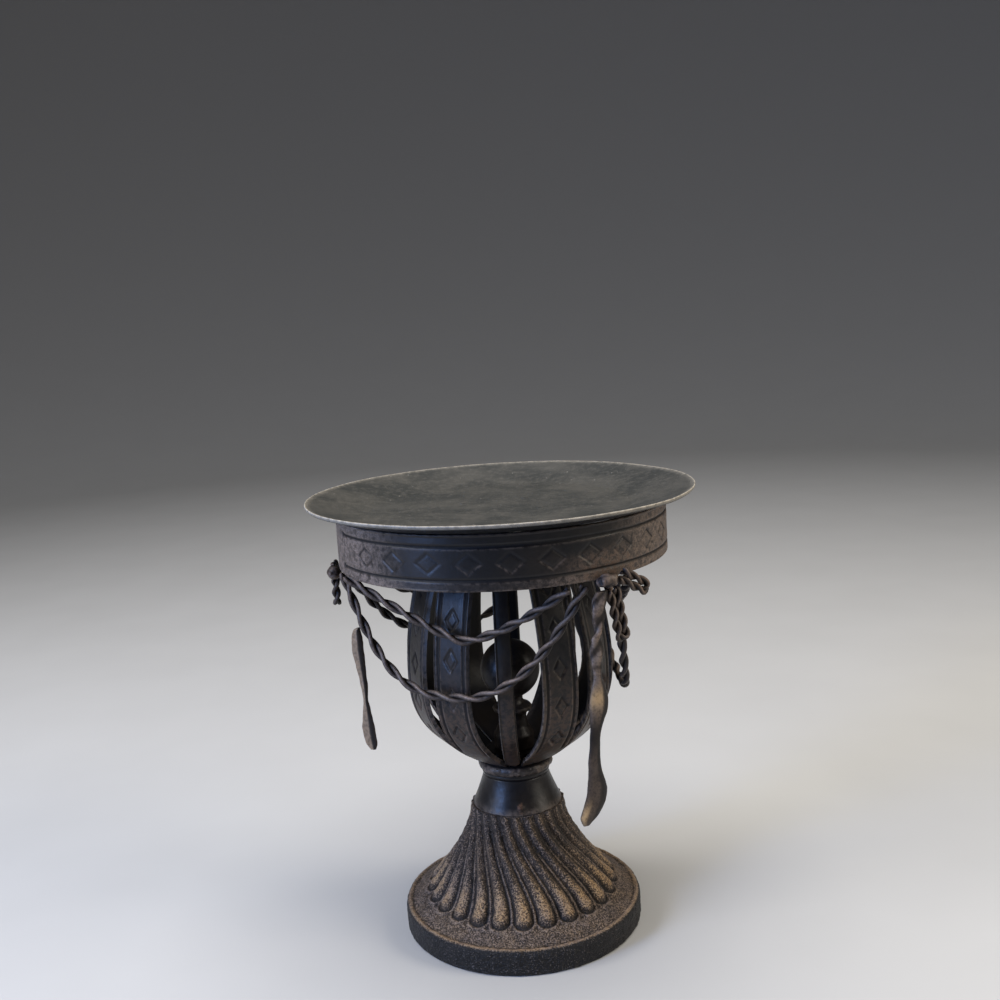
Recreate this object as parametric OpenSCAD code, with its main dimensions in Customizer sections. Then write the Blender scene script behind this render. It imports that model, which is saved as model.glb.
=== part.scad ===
// Torchere stand: swirl-fluted cast foot, cage of bent flat bar, dished pan,
// stamped hoop, and twisted-wire garlands with bows and hammered tails.
// Millimetres, Z up, origin at the centre of the foot's underside.
// Angles of parts round the stand run from the front (-Y) towards the right (+X).

/* [Foot casting] */
// Diameter of the foot at the floor
foot_d = 87; // [76:1:120]
// Height of the foot's upright rim
rim_h = 9.3; // [7:0.1:13]
// Diameter over the lower ends of the flutes
flute_end_d = 71; // [62:1:74]
// Height of the lower ends of the flutes
flute_end_h = 12.4; // [11:0.1:15]
// Height of the casting
foot_h = 45; // [40:1:70]
// Diameter of the casting's top
foot_top_d = 34.2; // [33.6:0.1:38]
// Number of flutes
flute_n = 25; // [16:1:30]
// Turn of each flute from its top to its lower end, degrees
flute_turn = 33; // [0:1:60]
// Depth of the grooves between the flutes
flute_depth = 1.5; // [0.8:0.1:2]
// Wall of the hollow casting
foot_wall = 3; // [2.5:0.1:4]
// Thickness of the casting's top, which the tie bolt clamps
foot_crown = 8; // [6:0.5:10]

/* [Neck and collar] */
// Diameter of the neck where it stands on the casting
neck_base_d = 32.4; // [28:0.1:33]
// Diameter of the neck's top
neck_top_d = 24; // [22:0.1:27]
// Height of the neck
neck_h = 11.5; // [8:0.5:20]
// Diameter over the collar's bead
collar_d = 27.2; // [26:0.1:32]
// Height of the collar
collar_h = 5.8; // [4.5:0.1:9]

/* [Cage] */
// Diameter over the widest part of the cage
cage_d = 74; // [66:0.5:74]
// Height of the widest part above the collar
cage_belly = 36.6; // [30:0.2:44]
// Diameter of the cage under the pan
cage_top_d = 48; // [42:1:54]
// Turn of the cage against the foot, degrees
cage_turn = -3; // [-10:1:10]
// Thickness of the flat bar
bar_t = 1.6; // [1.2:0.1:2.2]
// Width of the wide straps
wide_w = 14; // [10:0.5:15]
// Width of the narrow straps
narrow_w = 5.6; // [4:0.2:7]
// Depth of the lines and diamonds stamped in the bar
stamp_depth = 0.45; // [0.3:0.05:0.6]
// Width of the stamped lines
stamp_w = 0.9; // [0.6:0.1:1.2]

/* [Pan and hoop] */
// Diameter over the pan's rim
pan_d = 136.4; // [130:0.2:150]
// Diameter of the pan's flat floor
pan_floor_d = 92; // [80:1:100]
// Height of the pan's floor above the foot's underside
pan_floor_h = 155; // [150:1:190]
// Rise of the rim over the pan's floor
pan_rise = 6; // [4:0.5:9]
// Thickness of the pan
pan_t = 1.2; // [1:0.1:2]
// Outside diameter of the hoop
hoop_d = 116; // [108:1:120]
// Height of the hoop's strip
hoop_h = 17.9; // [14:0.1:22]
// Thickness of the hoop's strip
hoop_t = 1.8; // [1.5:0.1:2.5]
// Number of diamonds round the hoop
hoop_diamonds = 25; // [18:1:27]

/* [Garlands] */
// Place of the bow at the left, degrees round from the front
bow_left = -84; // [-90:1:-78]
// Place of the bow at the right front
bow_right = 32; // [28:1:40]
// Place of the bow at the back
bow_back = 157; // [150:1:165]
// Thickness of one wire
wire_d = 1.7; // [1.4:0.1:2]
// Length of one full twist of a pair of wires
twist_pitch = 18; // [14:1:26]
// Thickness of one wire of the bows
bow_wire_d = 1.3; // [1.1:0.1:1.4]
// Length of one full twist in the bows
bow_pitch = 13; // [10:1:16]
// Drop of the upper garlands
upper_sag = 19.5; // [14:0.5:26]
// Drop of the lower garland in the front bay
front_sag = 40; // [34:0.5:48]
// Drop of the lower garland in the right bay
right_sag = 47; // [34:0.5:48]
// Drop of the lower garland in the left bay
left_sag = 34.5; // [34:0.5:48]
// Distance of a garland's middle from the stand's axis
garland_r = 39.6; // [39.4:0.2:46]
// Length of a long hammered tail
tail_l = 74.5; // [60:0.5:80]
// Length of the short tail at the left
short_tail_l = 44; // [36:1:52]

/* [Fixings] */
// Diameter of the tie bolt
bolt_d = 8; // [6:1:8]
// Width across the flats of the bolt's head and nut
bolt_af = 13; // [12:1:14]
// Clearance of the tie bolt in its bores, on the radius
bore_gap = 0.25; // [0.1:0.05:0.4]
// Diameter of the rivets that hold the cage to the pan
rivet_d = 3; // [2:0.5:4]

/* [Hidden] */
$fn = 96;
eps = 0.01;
iron = [0.20, 0.17, 0.14];
steel = [0.16, 0.17, 0.19];
wire_tone = [0.34, 0.29, 0.26];
bright = [0.55, 0.55, 0.57];

// Gap left between pieces that seat on each other without touching faces
seat_gap = 0.25;

// Heights of the stack that the tie bolt clamps
neck_z = foot_h;
collar_z = neck_z + neck_h;
hub_z = collar_z + collar_h;
bolt_r = bolt_d / 2;
bore_r = bolt_r + bore_gap;
washer_t = 1.6;
washer_r = bolt_d * 1.2;
nut_h = bolt_d * 0.8;
crown_z = foot_h - foot_crown;
bolt_top = hub_z + bar_t + washer_t + nut_h + 2;

// Bell-shaped outline over the crests of the flutes
flute_top_r = foot_top_d / 2;
flute_end_r = flute_end_d / 2;
bell_power = 1.65;
function bell_s(z) = (z - flute_end_h) / (foot_h - flute_end_h);
function bell_r(z) = flute_top_r + (flute_end_r - flute_top_r) * pow(max(0, 1 - bell_s(z)), bell_power);
function ease(x) = x <= 0 ? 0 : x >= 1 ? 1 : x * x * (3 - 2 * x);
// The flutes lean in the middle of their run and stand upright at both ends
upright_low = 2;
upright_top = 1;
function flute_lag(z) = flute_turn
    * ease((z - flute_end_h - upright_low) / (foot_h + upright_top - flute_end_h));
// Grooves are deepest at the lower ends and shallow at the casting's top: heights that these two
// changes take, and how much deeper the lower ends are
crown_run = 10;
nose_run = 8;
nose_share = 0.55;
function groove(z) = flute_depth * (0.5 + 0.5 * ease((foot_h - z) / crown_run)
    + nose_share * ease((flute_end_h + nose_run - z) / nose_run));
flute_points = 6;
flute_cols = flute_n * flute_points;
flute_power = 0.65;
function flute_round(c) = 1 - pow(abs(sin(180 * (c % flute_points) / flute_points)), flute_power);
flute_first = -8;
// The ledge under the noses of the flutes, and how far it reaches past them
ledge_h = flute_end_h - 0.8;
ledge_w = 0.5;
flute_levels = [for (s = [0, 0.03, 0.08, 0.15, 0.23, 0.32, 0.42, 0.53, 0.65, 0.77, 0.89, 1])
    flute_end_h + s * (foot_h - flute_end_h)];

// The cage's strap line: level tab on the collar, belly, shoulder, level tab under the pan
strap_z0 = hub_z + bar_t / 2;
belly_z = hub_z + cage_belly;
tab_z = pan_floor_h - pan_t - bar_t / 2;
belly_r = (cage_d - bar_t) / 2;
hub_r = neck_top_d / 2;
top_r = cage_top_d / 2;
strap_in = bore_r + 0.6;
top_tab = 11;
top_in = top_r - top_tab;
bend_r = 3;
shoulder_z = tab_z - bend_r;
belly_steps = 14;
belly_power = 2.7;
shoulder_steps = 8;
shoulder_power = 1.8;
function belly_at(s) = [hub_r + (belly_r - hub_r) * (1 - pow(1 - s, belly_power)),
    strap_z0 + (belly_z - strap_z0) * s];
function shoulder_at(s) = [belly_r - (belly_r - top_r) * pow(s, shoulder_power),
    belly_z + (shoulder_z - belly_z) * s];
strap_line = concat(
    [[strap_in, strap_z0]],
    [for (i = [0:belly_steps]) belly_at(i / belly_steps)],
    [for (i = [1:shoulder_steps]) shoulder_at(i / shoulder_steps)],
    [for (a = [30:30:90]) [top_r - bend_r * (1 - cos(a)), shoulder_z + bend_r * sin(a)]],
    [[top_in, tab_z]]
);
strap_last = len(strap_line) - 1;
function unit(v) = v / norm(v);
function strap_dir(i) = unit(strap_line[min(i + 1, strap_last)] - strap_line[max(i - 1, 0)]);
function strap_side(i, d) = strap_line[i] + d * [strap_dir(i)[1], -strap_dir(i)[0]];
strap_outline = concat(
    [for (i = [0:strap_last]) strap_side(i, bar_t / 2)],
    [for (i = [strap_last:-1:0]) strap_side(i, -bar_t / 2)]
);
// Running length along a list of points
function run_length(p) = [for (i = 0, s = 0; i < len(p); i = i + 1,
    s = s + (i < len(p) ? norm(p[i] - p[i - 1]) : 0)) s];
// Strip just under the bar's outer face, for the stamped lines
stamp_inset = 1.9;
stamp_outline = concat(
    [for (i = [2:strap_last - 3]) strap_side(i, bar_t / 2 + 1)],
    [for (i = [strap_last - 3:-1:2]) strap_side(i, bar_t / 2 - stamp_depth)]
);
// Diamonds stamped down the middle of each wide strap. Of two such straps side by side, the second
// one's diamonds lie a little higher; places are running lengths from the strap's lower end
strap_diamond_w = 5.4;
strap_diamond_h = 8.2;
strap_diamonds = 5;
strap_diamond_pitch = 13.5;
strap_diamond_first = [31.5, 35.5];
strap_runs = run_length(strap_line);
strap_rs = [for (i = [0:strap_last]) [strap_runs[i], strap_line[i][0]]];
strap_zs = [for (i = [0:strap_last]) [strap_runs[i], strap_line[i][1]]];
function strap_at(s) = [lookup(s, strap_rs), lookup(s, strap_zs)];
// Twelve straps at even steps: every third one is narrow, starting at the front
strap_n = 12;
strap_step = 360 / strap_n;
narrow_places = [for (i = [0:3:strap_n - 1]) cage_turn + i * strap_step];
wide_places = [for (i = [0:strap_n - 1]) if (i % 3 != 0) cage_turn + i * strap_step];
// Where the straps meet at the hub they are cut to wedges: half of a narrow one's share, and the
// wide one's share towards a narrow and towards a wide neighbour, degrees
narrow_share = 10;
wide_share = strap_step - narrow_share;
even_share = strap_step / 2;
wedge_gap = 0.12;

// Pan and hoop
pan_r = pan_d / 2;
pan_floor_r = pan_floor_d / 2;
rim_z = pan_floor_h + pan_rise;
flare_power = 1.3;
function pan_at(r) = pan_floor_h
    + pan_rise * pow(max(0, (r - pan_floor_r) / (pan_r - pan_floor_r)), flare_power);
pan_steps = 12;
function pan_ring(i) = pan_floor_r + (pan_r - pan_floor_r) * i / pan_steps;
hoop_r = hoop_d / 2;
hoop_in = hoop_r - hoop_t;
hoop_top = pan_at(hoop_in) - pan_t - seat_gap;
hoop_bottom = hoop_top - hoop_h;
hoop_line_in = 3.6;
diamond_w = 9.4;
diamond_h = 7.2;
// The strip's plain lapped end lies at the left, between the stamped ends
lap_from = -68;
lap_to = -90;
plain_after = 17.6;
plain_before = 6;
diamond_first = lap_from + plain_after;
diamond_last = lap_to + 360 - plain_before;
rivet_at = top_in + rivet_d;
rivet_gap = 0.1;
cap_r = rivet_at + rivet_d;
cap_t = 1.6;
cap_z = pan_floor_h - pan_t - bar_t - cap_t;

// Garlands
wire_r = wire_d / 2;
wire_sides = 6;
// Centre of each wire from the pair's own centre line, so that the flats of the two just clear
pair_share = 0.97;
pair_out = wire_r * (1 + pair_share);
steps_per_twist = 7;
function around(r, a, z) = [r * sin(a), -r * cos(a), z];
function along_hoop(a) = [cos(a), sin(a), 0];
function outwards(a) = [sin(a), -cos(a), 0];

// Points at even steps along a list of points
function even_steps(p, n) = let (s = run_length(p), last = len(p) - 1,
        xs = [for (i = [0:last]) [s[i], p[i][0]]],
        ys = [for (i = [0:last]) [s[i], p[i][1]]],
        zs = [for (i = [0:last]) [s[i], p[i][2]]])
    [for (k = [0:n]) let (q = s[last] * k / n) [lookup(q, xs), lookup(q, ys), lookup(q, zs)]];
function heading(p, i) = unit(p[min(i + 1, len(p) - 1)] - p[max(i - 1, 0)]);
// Rings of one wire, r thick, of a pair that twists along the points p; side is square to the line
function wire_rings(p, side, r, turn, step) = [for (i = [0:len(p) - 1])
    let (t = heading(p, i), b = unit(cross(t, side)), n = cross(b, t), a = turn + step * i)
    [for (k = [0:wire_sides - 1])
        let (c = a + 180 / wire_sides + 360 * k / wire_sides)
        p[i] + r * pair_share * (cos(a) * n + sin(a) * b) + r * (cos(c) * n + sin(c) * b)]];
function flat_list(l) = [for (a = l) for (b = a) b];
// Triangles of a closed tube of rings, wound so that its faces look outwards
function tube_faces(rings, sides) = concat(
    [for (i = [0:rings - 2]) for (k = [0:sides - 1])
        let (k2 = (k + 1) % sides) each [
            [i * sides + k, (i + 1) * sides + k, (i + 1) * sides + k2],
            [i * sides + k, (i + 1) * sides + k2, i * sides + k2]]],
    [for (k = [1:sides - 2]) [0, k, k + 1]],
    [for (k = [1:sides - 2]) let (o = (rings - 1) * sides) [o, o + k + 1, o + k]]
);

module wire_pair(line, side, r, pitch) {
    n = ceil(run_length(line)[len(line) - 1] / pitch * steps_per_twist);
    p = even_steps(line, n);
    for (turn = [0, 180])
        polyhedron(
            flat_list(wire_rings(p, side, r, turn, 360 / steps_per_twist)),
            tube_faces(n + 1, wire_sides), convexity = 6
        );
}

// A garland bows outwards past the cage in plan, and hangs between two places under the hoop
end_r = hoop_r - hoop_t / 2;
upper_inset = 11.5;
lower_inset = 6;
// Hand-bent curves: [place of the lowest point, steepness before it, steepness after it]
upper_bend = [0.53, 1.2, 1.45];
lower_bend = [0.47, 2.9, 2.25];
garland_steps = 60;
function plan_at(a, b, t) = let (p = around(end_r, a, 0), q = around(end_r, b, 0),
        m = 2 * around(garland_r, (a + b) / 2, 0) - (p + q) / 2)
    (1 - t) * (1 - t) * p + 2 * t * (1 - t) * m + t * t * q;
function chord(a, b) = norm(around(end_r, a, 0) - around(end_r, b, 0));
function drop_share(bend, t) = 1 - (t < bend[0]
    ? pow((bend[0] - t) / bend[0], bend[1])
    : pow((t - bend[0]) / (1 - bend[0]), bend[2]));
// Height of the ends, where the slanted wires just clear the hoop's lower edge
function end_z(a, b, sag, bend) = hoop_bottom - seat_gap
    - pair_out * cos(atan(sag * bend[2] / (1 - bend[0]) / chord(a, b)));
function garland_at(a, b, sag, bend, t) =
    plan_at(a, b, t) + [0, 0, end_z(a, b, sag, bend) - sag * drop_share(bend, t)];

module garland(a, b, sag, bend)
    color(wire_tone) wire_pair(
        [for (i = [0:garland_steps]) garland_at(a, b, sag, bend, i / garland_steps)],
        outwards((a + b) / 2), wire_r, twist_pitch
    );
module upper_garland(a, b) garland(a + upper_inset, b - upper_inset, upper_sag, upper_bend);
module lower_garland(a, b, sag) garland(a + lower_inset, b - lower_inset, sag, lower_bend);

// Bows: a brazed bead along the hoop's lower edge, and two loops of a twisted pair
bead_r = 2.6;
bead_l = 8;
bow_wire_r = bow_wire_d / 2;
bow_out = bow_wire_r * (1 + pair_share);
// Half the distance between the two arms of a loop, at its start and at its round end
loop_start = 1.05 * bow_out;
loop_end = 1.4 * bow_out;
// The side loop starts beside the bead and higher, and slants down by the dip
side_l = 12;
side_rise = 1.2;
side_dip = 0.6;
side_gap = 0.75;
// The hanging loop starts under the bead, aside of its middle, and leans by the lean
hang_l = 17;
hang_short_l = 9;
hang_aside = 1.5;
hang_lean = 0.2;
// The bead lies against the hoop's lower edge, its middle lower than the edge by the drop
left_drop = 2.2;
function bead_at(drop) = hoop_r + sqrt(pow(bead_r + seat_gap, 2) - drop * drop);
// A narrow loop of length l from the place o towards d, with its arms apart along e
function hairpin(o, d, e, l) = let (far = o + d * (l - loop_end)) concat(
    [for (i = [0:7]) let (s = i / 8) (1 - s) * (o - e * loop_start) + s * (far - e * loop_end)],
    [for (a = [0:15:180]) far + loop_end * (sin(a) * d - cos(a) * e)],
    [for (i = [7:-1:0]) let (s = i / 8) (1 - s) * (o + e * loop_start) + s * (far + e * loop_end)]
);

// side: +1 puts the side loop on the right, -1 on the left; l: length of the hanging loop
module bow(a, side, drop, l) {
    o = around(bead_at(drop), a, hoop_bottom - drop);
    t = along_hoop(a) * side;
    up = [0, 0, 1];
    side_start = o + t * (bead_l / 2 + side_gap) + side_rise * up;
    hang_start = o + t * hang_aside - (bead_r + seat_gap) * up;
    color(wire_tone) {
        translate(o) rotate([0, 0, a]) rotate([0, 90, 0]) bead();
        wire_pair(hairpin(side_start, unit(t - side_dip * up), unit(up + side_dip * t), side_l),
            outwards(a), bow_wire_r, bow_pitch);
        wire_pair(hairpin(hang_start, unit(hang_lean * t - up), unit(t + hang_lean * up), l),
            outwards(a), bow_wire_r, bow_pitch);
    }
}

// Barrel with rounded ends and shallow rings round it
bead_rings = 6;
ring_share = 0.9;
module bead() rotate_extrude(convexity = 4)
    polygon(concat(
        [[0, -bead_l / 2]],
        [for (i = [0:2 * bead_rings]) let (x = i / bead_rings - 1)
            [bead_r * sqrt(1 - pow(abs(x), 3)) * (i % 2 == 0 ? 1 : ring_share), x * bead_l / 2]],
        [[0, bead_l / 2]]
    ));

// Hammered tails: rows of [share of the length, width, thickness, drift to the side]
long_tail = [
    [0, 3, 2.4, 0], [0.035, 4.1, 2.8, 0], [0.075, 3, 2.2, -0.4], [0.11, 4.6, 3, -0.8],
    [0.18, 3, 2.2, -1.2], [0.245, 4.2, 2.8, -1.4], [0.322, 2.4, 1.9, -2], [0.4, 3.5, 2, -1.6],
    [0.48, 6.2, 1.8, -1.9], [0.558, 5.5, 1.7, -2.6], [0.636, 3.9, 1.6, -3.7], [0.731, 3.9, 1.5, -4.6],
    [0.85, 6.9, 1.6, -4.3], [0.93, 6.9, 1.7, -6], [0.977, 4.9, 1.6, -8.2], [1, 1.8, 1.2, -8.2]
];
short_tail = [
    [0, 1.4, 1.4, 0], [0.05, 2.6, 1.8, -0.8], [0.12, 3.3, 2, -1.6], [0.24, 3.7, 2, -1.6],
    [0.36, 3, 1.8, -1.1], [0.48, 2.2, 1.6, -0.5], [0.62, 1.7, 1.4, 0.1], [0.72, 2.4, 1.4, -0.1],
    [0.84, 4.6, 1.5, -0.2], [0.92, 4.2, 1.5, 0.2], [0.97, 3, 1.4, 0.9], [1, 1.2, 1, 1.4]
];
tail_sides = 8;
// A long tail hangs under its bow's bead, beside the hanging loop
tail_drop = bead_r + seat_gap + 0.1;
tail_aside = 3.8;

// A tail's broad face looks towards the angle a round the stand
module tail(rows, top, a, length)
    color(wire_tone)
    translate(top) rotate([0, 0, a])
    polyhedron(
        [for (row = rows) for (k = [0:tail_sides - 1])
            let (c = 360 * k / tail_sides)
            [row[3] + row[1] / 2 * cos(c), -row[2] / 2 * sin(c), -length * row[0]]],
        tube_faces(len(rows), tail_sides), convexity = 4
    );
module bow_tail(a) tail(long_tail,
    around(bead_at(0), a, hoop_bottom - tail_drop) - tail_aside * along_hoop(a), a, tail_l);
// The short tail hangs under the steep start of the front bay's lower garland
short_tail_place = 0.075;
short_tail_face = -20;
steep_share = 1.9;
module hooked_tail() tail(short_tail,
    garland_at(bow_left + lower_inset, bow_right - lower_inset, front_sag, lower_bend, short_tail_place)
        - [0, 0, steep_share * pair_out + seat_gap],
    short_tail_face, short_tail_l);

// Foot casting
module foot_casting() color(iron) difference() {
    union() {
        foot_base();
        foot_flutes();
    }
    foot_hollow();
    translate([0, 0, -1]) cylinder(h = foot_h + 2, r = bore_r);
}

// Upright rim with a fine raised edge, and the border that slopes up to the ledge under the flutes
module foot_base() rotate_extrude(convexity = 4)
    polygon([
        [0, 0], [foot_d / 2 - 0.8, 0], [foot_d / 2, 0.8], [foot_d / 2, rim_h - 2.2],
        [foot_d / 2 - 0.4, rim_h - 0.7], [foot_d / 2 - 1.1, rim_h], [foot_d / 2 - 1.9, rim_h],
        [foot_d / 2 - 2.3, rim_h - 0.4], [flute_end_r + ledge_w, ledge_h], [0, ledge_h]
    ]);

module foot_flutes() {
    // The lowest ring drops the noses of the flutes into the ledge
    levels = concat([ledge_h - 2], flute_levels);
    rings = [for (z = levels) let (zz = max(z, flute_end_h))
        [for (c = [0:flute_cols - 1])
            around(bell_r(zz) - groove(zz) * flute_round(c),
                flute_first + 360 * c / flute_cols - flute_lag(zz), z)]];
    low = len(levels) * flute_cols;
    polyhedron(
        concat(flat_list(rings), [[0, 0, levels[0]], [0, 0, foot_h]]),
        concat(
            [for (i = [0:len(levels) - 2]) for (c = [0:flute_cols - 1])
                let (c2 = (c + 1) % flute_cols, p = i * flute_cols, q = (i + 1) * flute_cols)
                each [[p + c, q + c, q + c2], [p + c, q + c2, p + c2]]],
            [for (c = [0:flute_cols - 1]) [low, c, (c + 1) % flute_cols]],
            [for (c = [0:flute_cols - 1]) let (q = low - flute_cols)
                [low + 1, q + (c + 1) % flute_cols, q + c]]
        ), convexity = 8
    );
}

module foot_hollow() {
    inset = foot_wall + flute_depth;
    rotate_extrude(convexity = 4)
        polygon(concat(
            [[0, -1], [foot_d / 2 - foot_wall - 1, -1], [foot_d / 2 - foot_wall - 1, rim_h - foot_wall - 2],
                [flute_end_r + 1, rim_h - foot_wall]],
            [for (i = [0:8]) let (z = flute_end_h + (crown_z - flute_end_h) * i / 8)
                [bell_r(z) - inset * (i == 0 ? 1.15 : 1), z]],
            [[0, crown_z]]
        ));
}

module neck_ferrule() color(steel) translate([0, 0, neck_z]) rotate_extrude()
    polygon(concat(
        [[bore_r, 0], [neck_base_d / 2, 0]],
        [for (i = [0:8]) let (s = i / 8)
            [neck_top_d / 2 + (neck_base_d - neck_top_d) / 2 * pow(1 - s, 1.25),
                0.5 + (neck_h - 0.5) * s]],
        [[bore_r, neck_h]]
    ));

module collar_ring() color(steel) translate([0, 0, collar_z]) rotate_extrude()
    polygon(concat(
        [[bore_r, 0], [neck_top_d / 2, 0], [neck_top_d / 2 + 0.5, 0.25 * collar_h]],
        [for (a = [-70:20:70])
            [collar_d / 2 - 1.8 + 1.8 * cos(a), 0.62 * collar_h + 0.32 * collar_h * sin(a)]],
        [[neck_top_d / 2, collar_h], [bore_r, collar_h]]
    ));

// Fixings in the tie bolt's stack
module washer(z, r) color(bright) translate([0, 0, z]) difference() {
    cylinder(h = washer_t, r = r);
    translate([0, 0, -1]) cylinder(h = washer_t + 2, r = bore_r);
}

module hexagon(h) cylinder(h = h, r = bolt_af / 2 / cos(30), $fn = 6);

module foot_washer() washer(crown_z - washer_t, washer_r * 1.2);

module hub_washer() washer(hub_z + bar_t, washer_r);

module tie_bolt() color(bright) {
    translate([0, 0, crown_z - washer_t - nut_h]) hexagon(nut_h);
    translate([0, 0, crown_z - washer_t - nut_h + eps])
        cylinder(h = bolt_top - (crown_z - washer_t - nut_h) - 1, r = bolt_r);
    translate([0, 0, bolt_top - 1]) cylinder(h = 1, r1 = bolt_r, r2 = bolt_r - 1, $fn = 48);
}

module hub_nut() color(bright) translate([0, 0, hub_z + bar_t + washer_t]) difference() {
    hexagon(nut_h);
    translate([0, 0, -1]) cylinder(h = nut_h + 2, r = bolt_r + 0.05);
}

// Cage
// Sector from the angle -right to the angle left, set in from both sides by the gap
module wedge(left, right) {
    x = wedge_gap * (cos(left) + cos(right)) / sin(left + right);
    y = (x * sin(left) - wedge_gap) / cos(left);
    far = cage_d;
    translate([x, y, hub_z - 1]) linear_extrude(tab_z - hub_z + 4)
        polygon([[0, 0], far * [cos(right), -sin(right)], [far, 0], far * [cos(left), sin(left)]]);
}

module bent_bar(width, outline) rotate([90, 0, 0])
    linear_extrude(width, center = true, convexity = 6) polygon(outline);

module strap(width, left, right) intersection() {
    bent_bar(width, strap_outline);
    wedge(left, right);
}

// The strap's own +X is turned to the angle a round the stand
module at_angle(a) rotate([0, 0, a - 90]) children();

module rivet_hole() translate([rivet_at, 0, cap_z - 1])
    cylinder(h = pan_floor_h - cap_z + 2, r = rivet_d / 2 + rivet_gap);

module diamond(w, h) polygon([[w / 2, 0], [0, h / 2], [-w / 2, 0], [0, -h / 2]]);

// One diamond, cut square into the bar's outer face at the running length s
module strap_diamond(s) {
    ends = [strap_at(s - strap_diamond_h / 2), strap_at(s + strap_diamond_h / 2)];
    along = ends[1] - ends[0];
    translate([strap_at(s)[0], 0, strap_at(s)[1]]) rotate([0, atan2(along[0], along[1]), 0])
        translate([bar_t / 2 - stamp_depth, 0, 0]) rotate([90, 0, 90])
        linear_extrude(bar_t) diamond(strap_diamond_w, strap_diamond_h);
}

// Of two wide straps side by side, the first has its narrow neighbour on the right
module wide_strap(i) color(steel) at_angle(wide_places[i]) difference() {
    strap(wide_w, i % 2 == 0 ? even_share : wide_share, i % 2 == 0 ? wide_share : even_share);
    for (y = [-1, 1])
        translate([0, y * (wide_w / 2 - stamp_inset), 0]) bent_bar(stamp_w, stamp_outline);
    for (k = [0:strap_diamonds - 1])
        strap_diamond(strap_diamond_first[i % 2] + k * strap_diamond_pitch);
    rivet_hole();
}

module narrow_strap(i) color(steel) at_angle(narrow_places[i])
    strap(narrow_w, narrow_share, narrow_share);

module cage_cap() color(steel) translate([0, 0, cap_z]) difference() {
    cylinder(h = cap_t, r = cap_r);
    for (a = wide_places) at_angle(a)
        translate([rivet_at, 0, -1]) cylinder(h = cap_t + 2, r = rivet_d / 2 + rivet_gap);
}

module cage_rivets() color(bright) for (a = wide_places) at_angle(a) {
    translate([rivet_at, 0, cap_z]) cylinder(h = pan_floor_h - cap_z, r = rivet_d / 2);
    translate([rivet_at, 0, cap_z - 1.2]) cylinder(h = 1.2, r = rivet_d * 0.85);
}

// Pan: flat floor and a flaring rim with a fine lip
module pan() color(steel) difference() {
    rotate_extrude(convexity = 4)
        polygon(concat(
            [[0, pan_floor_h - pan_t], [pan_floor_r, pan_floor_h - pan_t]],
            [for (i = [1:pan_steps]) [pan_ring(i), pan_at(pan_ring(i)) - pan_t]],
            [[pan_r, rim_z]],
            [for (i = [pan_steps - 1:-1:1]) [pan_ring(i), pan_at(pan_ring(i))]],
            [[pan_floor_r, pan_floor_h], [0, pan_floor_h]]
        ));
    for (a = wide_places) at_angle(a) rivet_hole();
}

module hoop() color(steel) difference() {
    translate([0, 0, hoop_bottom]) difference() {
        cylinder(h = hoop_h, r = hoop_r);
        translate([0, 0, -1]) cylinder(h = hoop_h + 2, r = hoop_in);
    }
    for (z = [hoop_line_in, hoop_h - hoop_line_in])
        translate([0, 0, hoop_bottom + z - stamp_w / 2]) difference() {
            cylinder(h = stamp_w, r = hoop_r + 1);
            translate([0, 0, -1]) cylinder(h = stamp_w + 2, r = hoop_r - stamp_depth);
            hoop_lap();
        }
    for (i = [0:hoop_diamonds - 1])
        rotate([0, 0, diamond_first + i * (diamond_last - diamond_first) / (hoop_diamonds - 1)])
        translate([0, -(hoop_r - stamp_depth), hoop_bottom + hoop_h / 2])
        rotate([90, 0, 0]) linear_extrude(hoop_t) diamond(diamond_w, diamond_h);
}

// Sector at the left where the strip's plain end laps over, left unstamped
module hoop_lap() translate([0, 0, -2]) linear_extrude(hoop_h)
    polygon([[0, 0], 2 * hoop_r * [sin(lap_from), -cos(lap_from)],
        2 * hoop_r * [sin(lap_to), -cos(lap_to)]]);

foot_casting();
neck_ferrule();
collar_ring();
tie_bolt();
foot_washer();
hub_washer();
hub_nut();
for (i = [1:len(wide_places)])
    wide_strap(i - 1);
for (i = [1:len(narrow_places)])
    narrow_strap(i - 1);
cage_cap();
cage_rivets();
pan();
hoop();
upper_garland(bow_left, bow_right);  // garland_front_upper
lower_garland(bow_left, bow_right, front_sag);  // garland_front_lower
upper_garland(bow_right, bow_back);  // garland_right_upper
lower_garland(bow_right, bow_back, right_sag);  // garland_right_lower
upper_garland(bow_back, bow_left + 360);  // garland_left_upper
lower_garland(bow_back, bow_left + 360, left_sag);  // garland_left_lower
bow(bow_left, -1, left_drop, hang_short_l);  // bow_left_wires
bow(bow_right, 1, 0, hang_l);  // bow_right_wires
bow(bow_back, 1, 0, hang_l);  // bow_back_wires
hooked_tail();  // tail_left
bow_tail(bow_right);  // tail_right
bow_tail(bow_back);  // tail_back
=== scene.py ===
"""Looks of the torchere stand: cast foot, cage of bent bars, pan, stamped hoop and garlands.

Distances are in millimetres until Solid.build() turns them into metres. Angles of parts round the
stand are in degrees from the front (-Y) towards the right (+X).
"""
import math
import bpy
import numpy as np
from mathutils import Matrix, Vector


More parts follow.
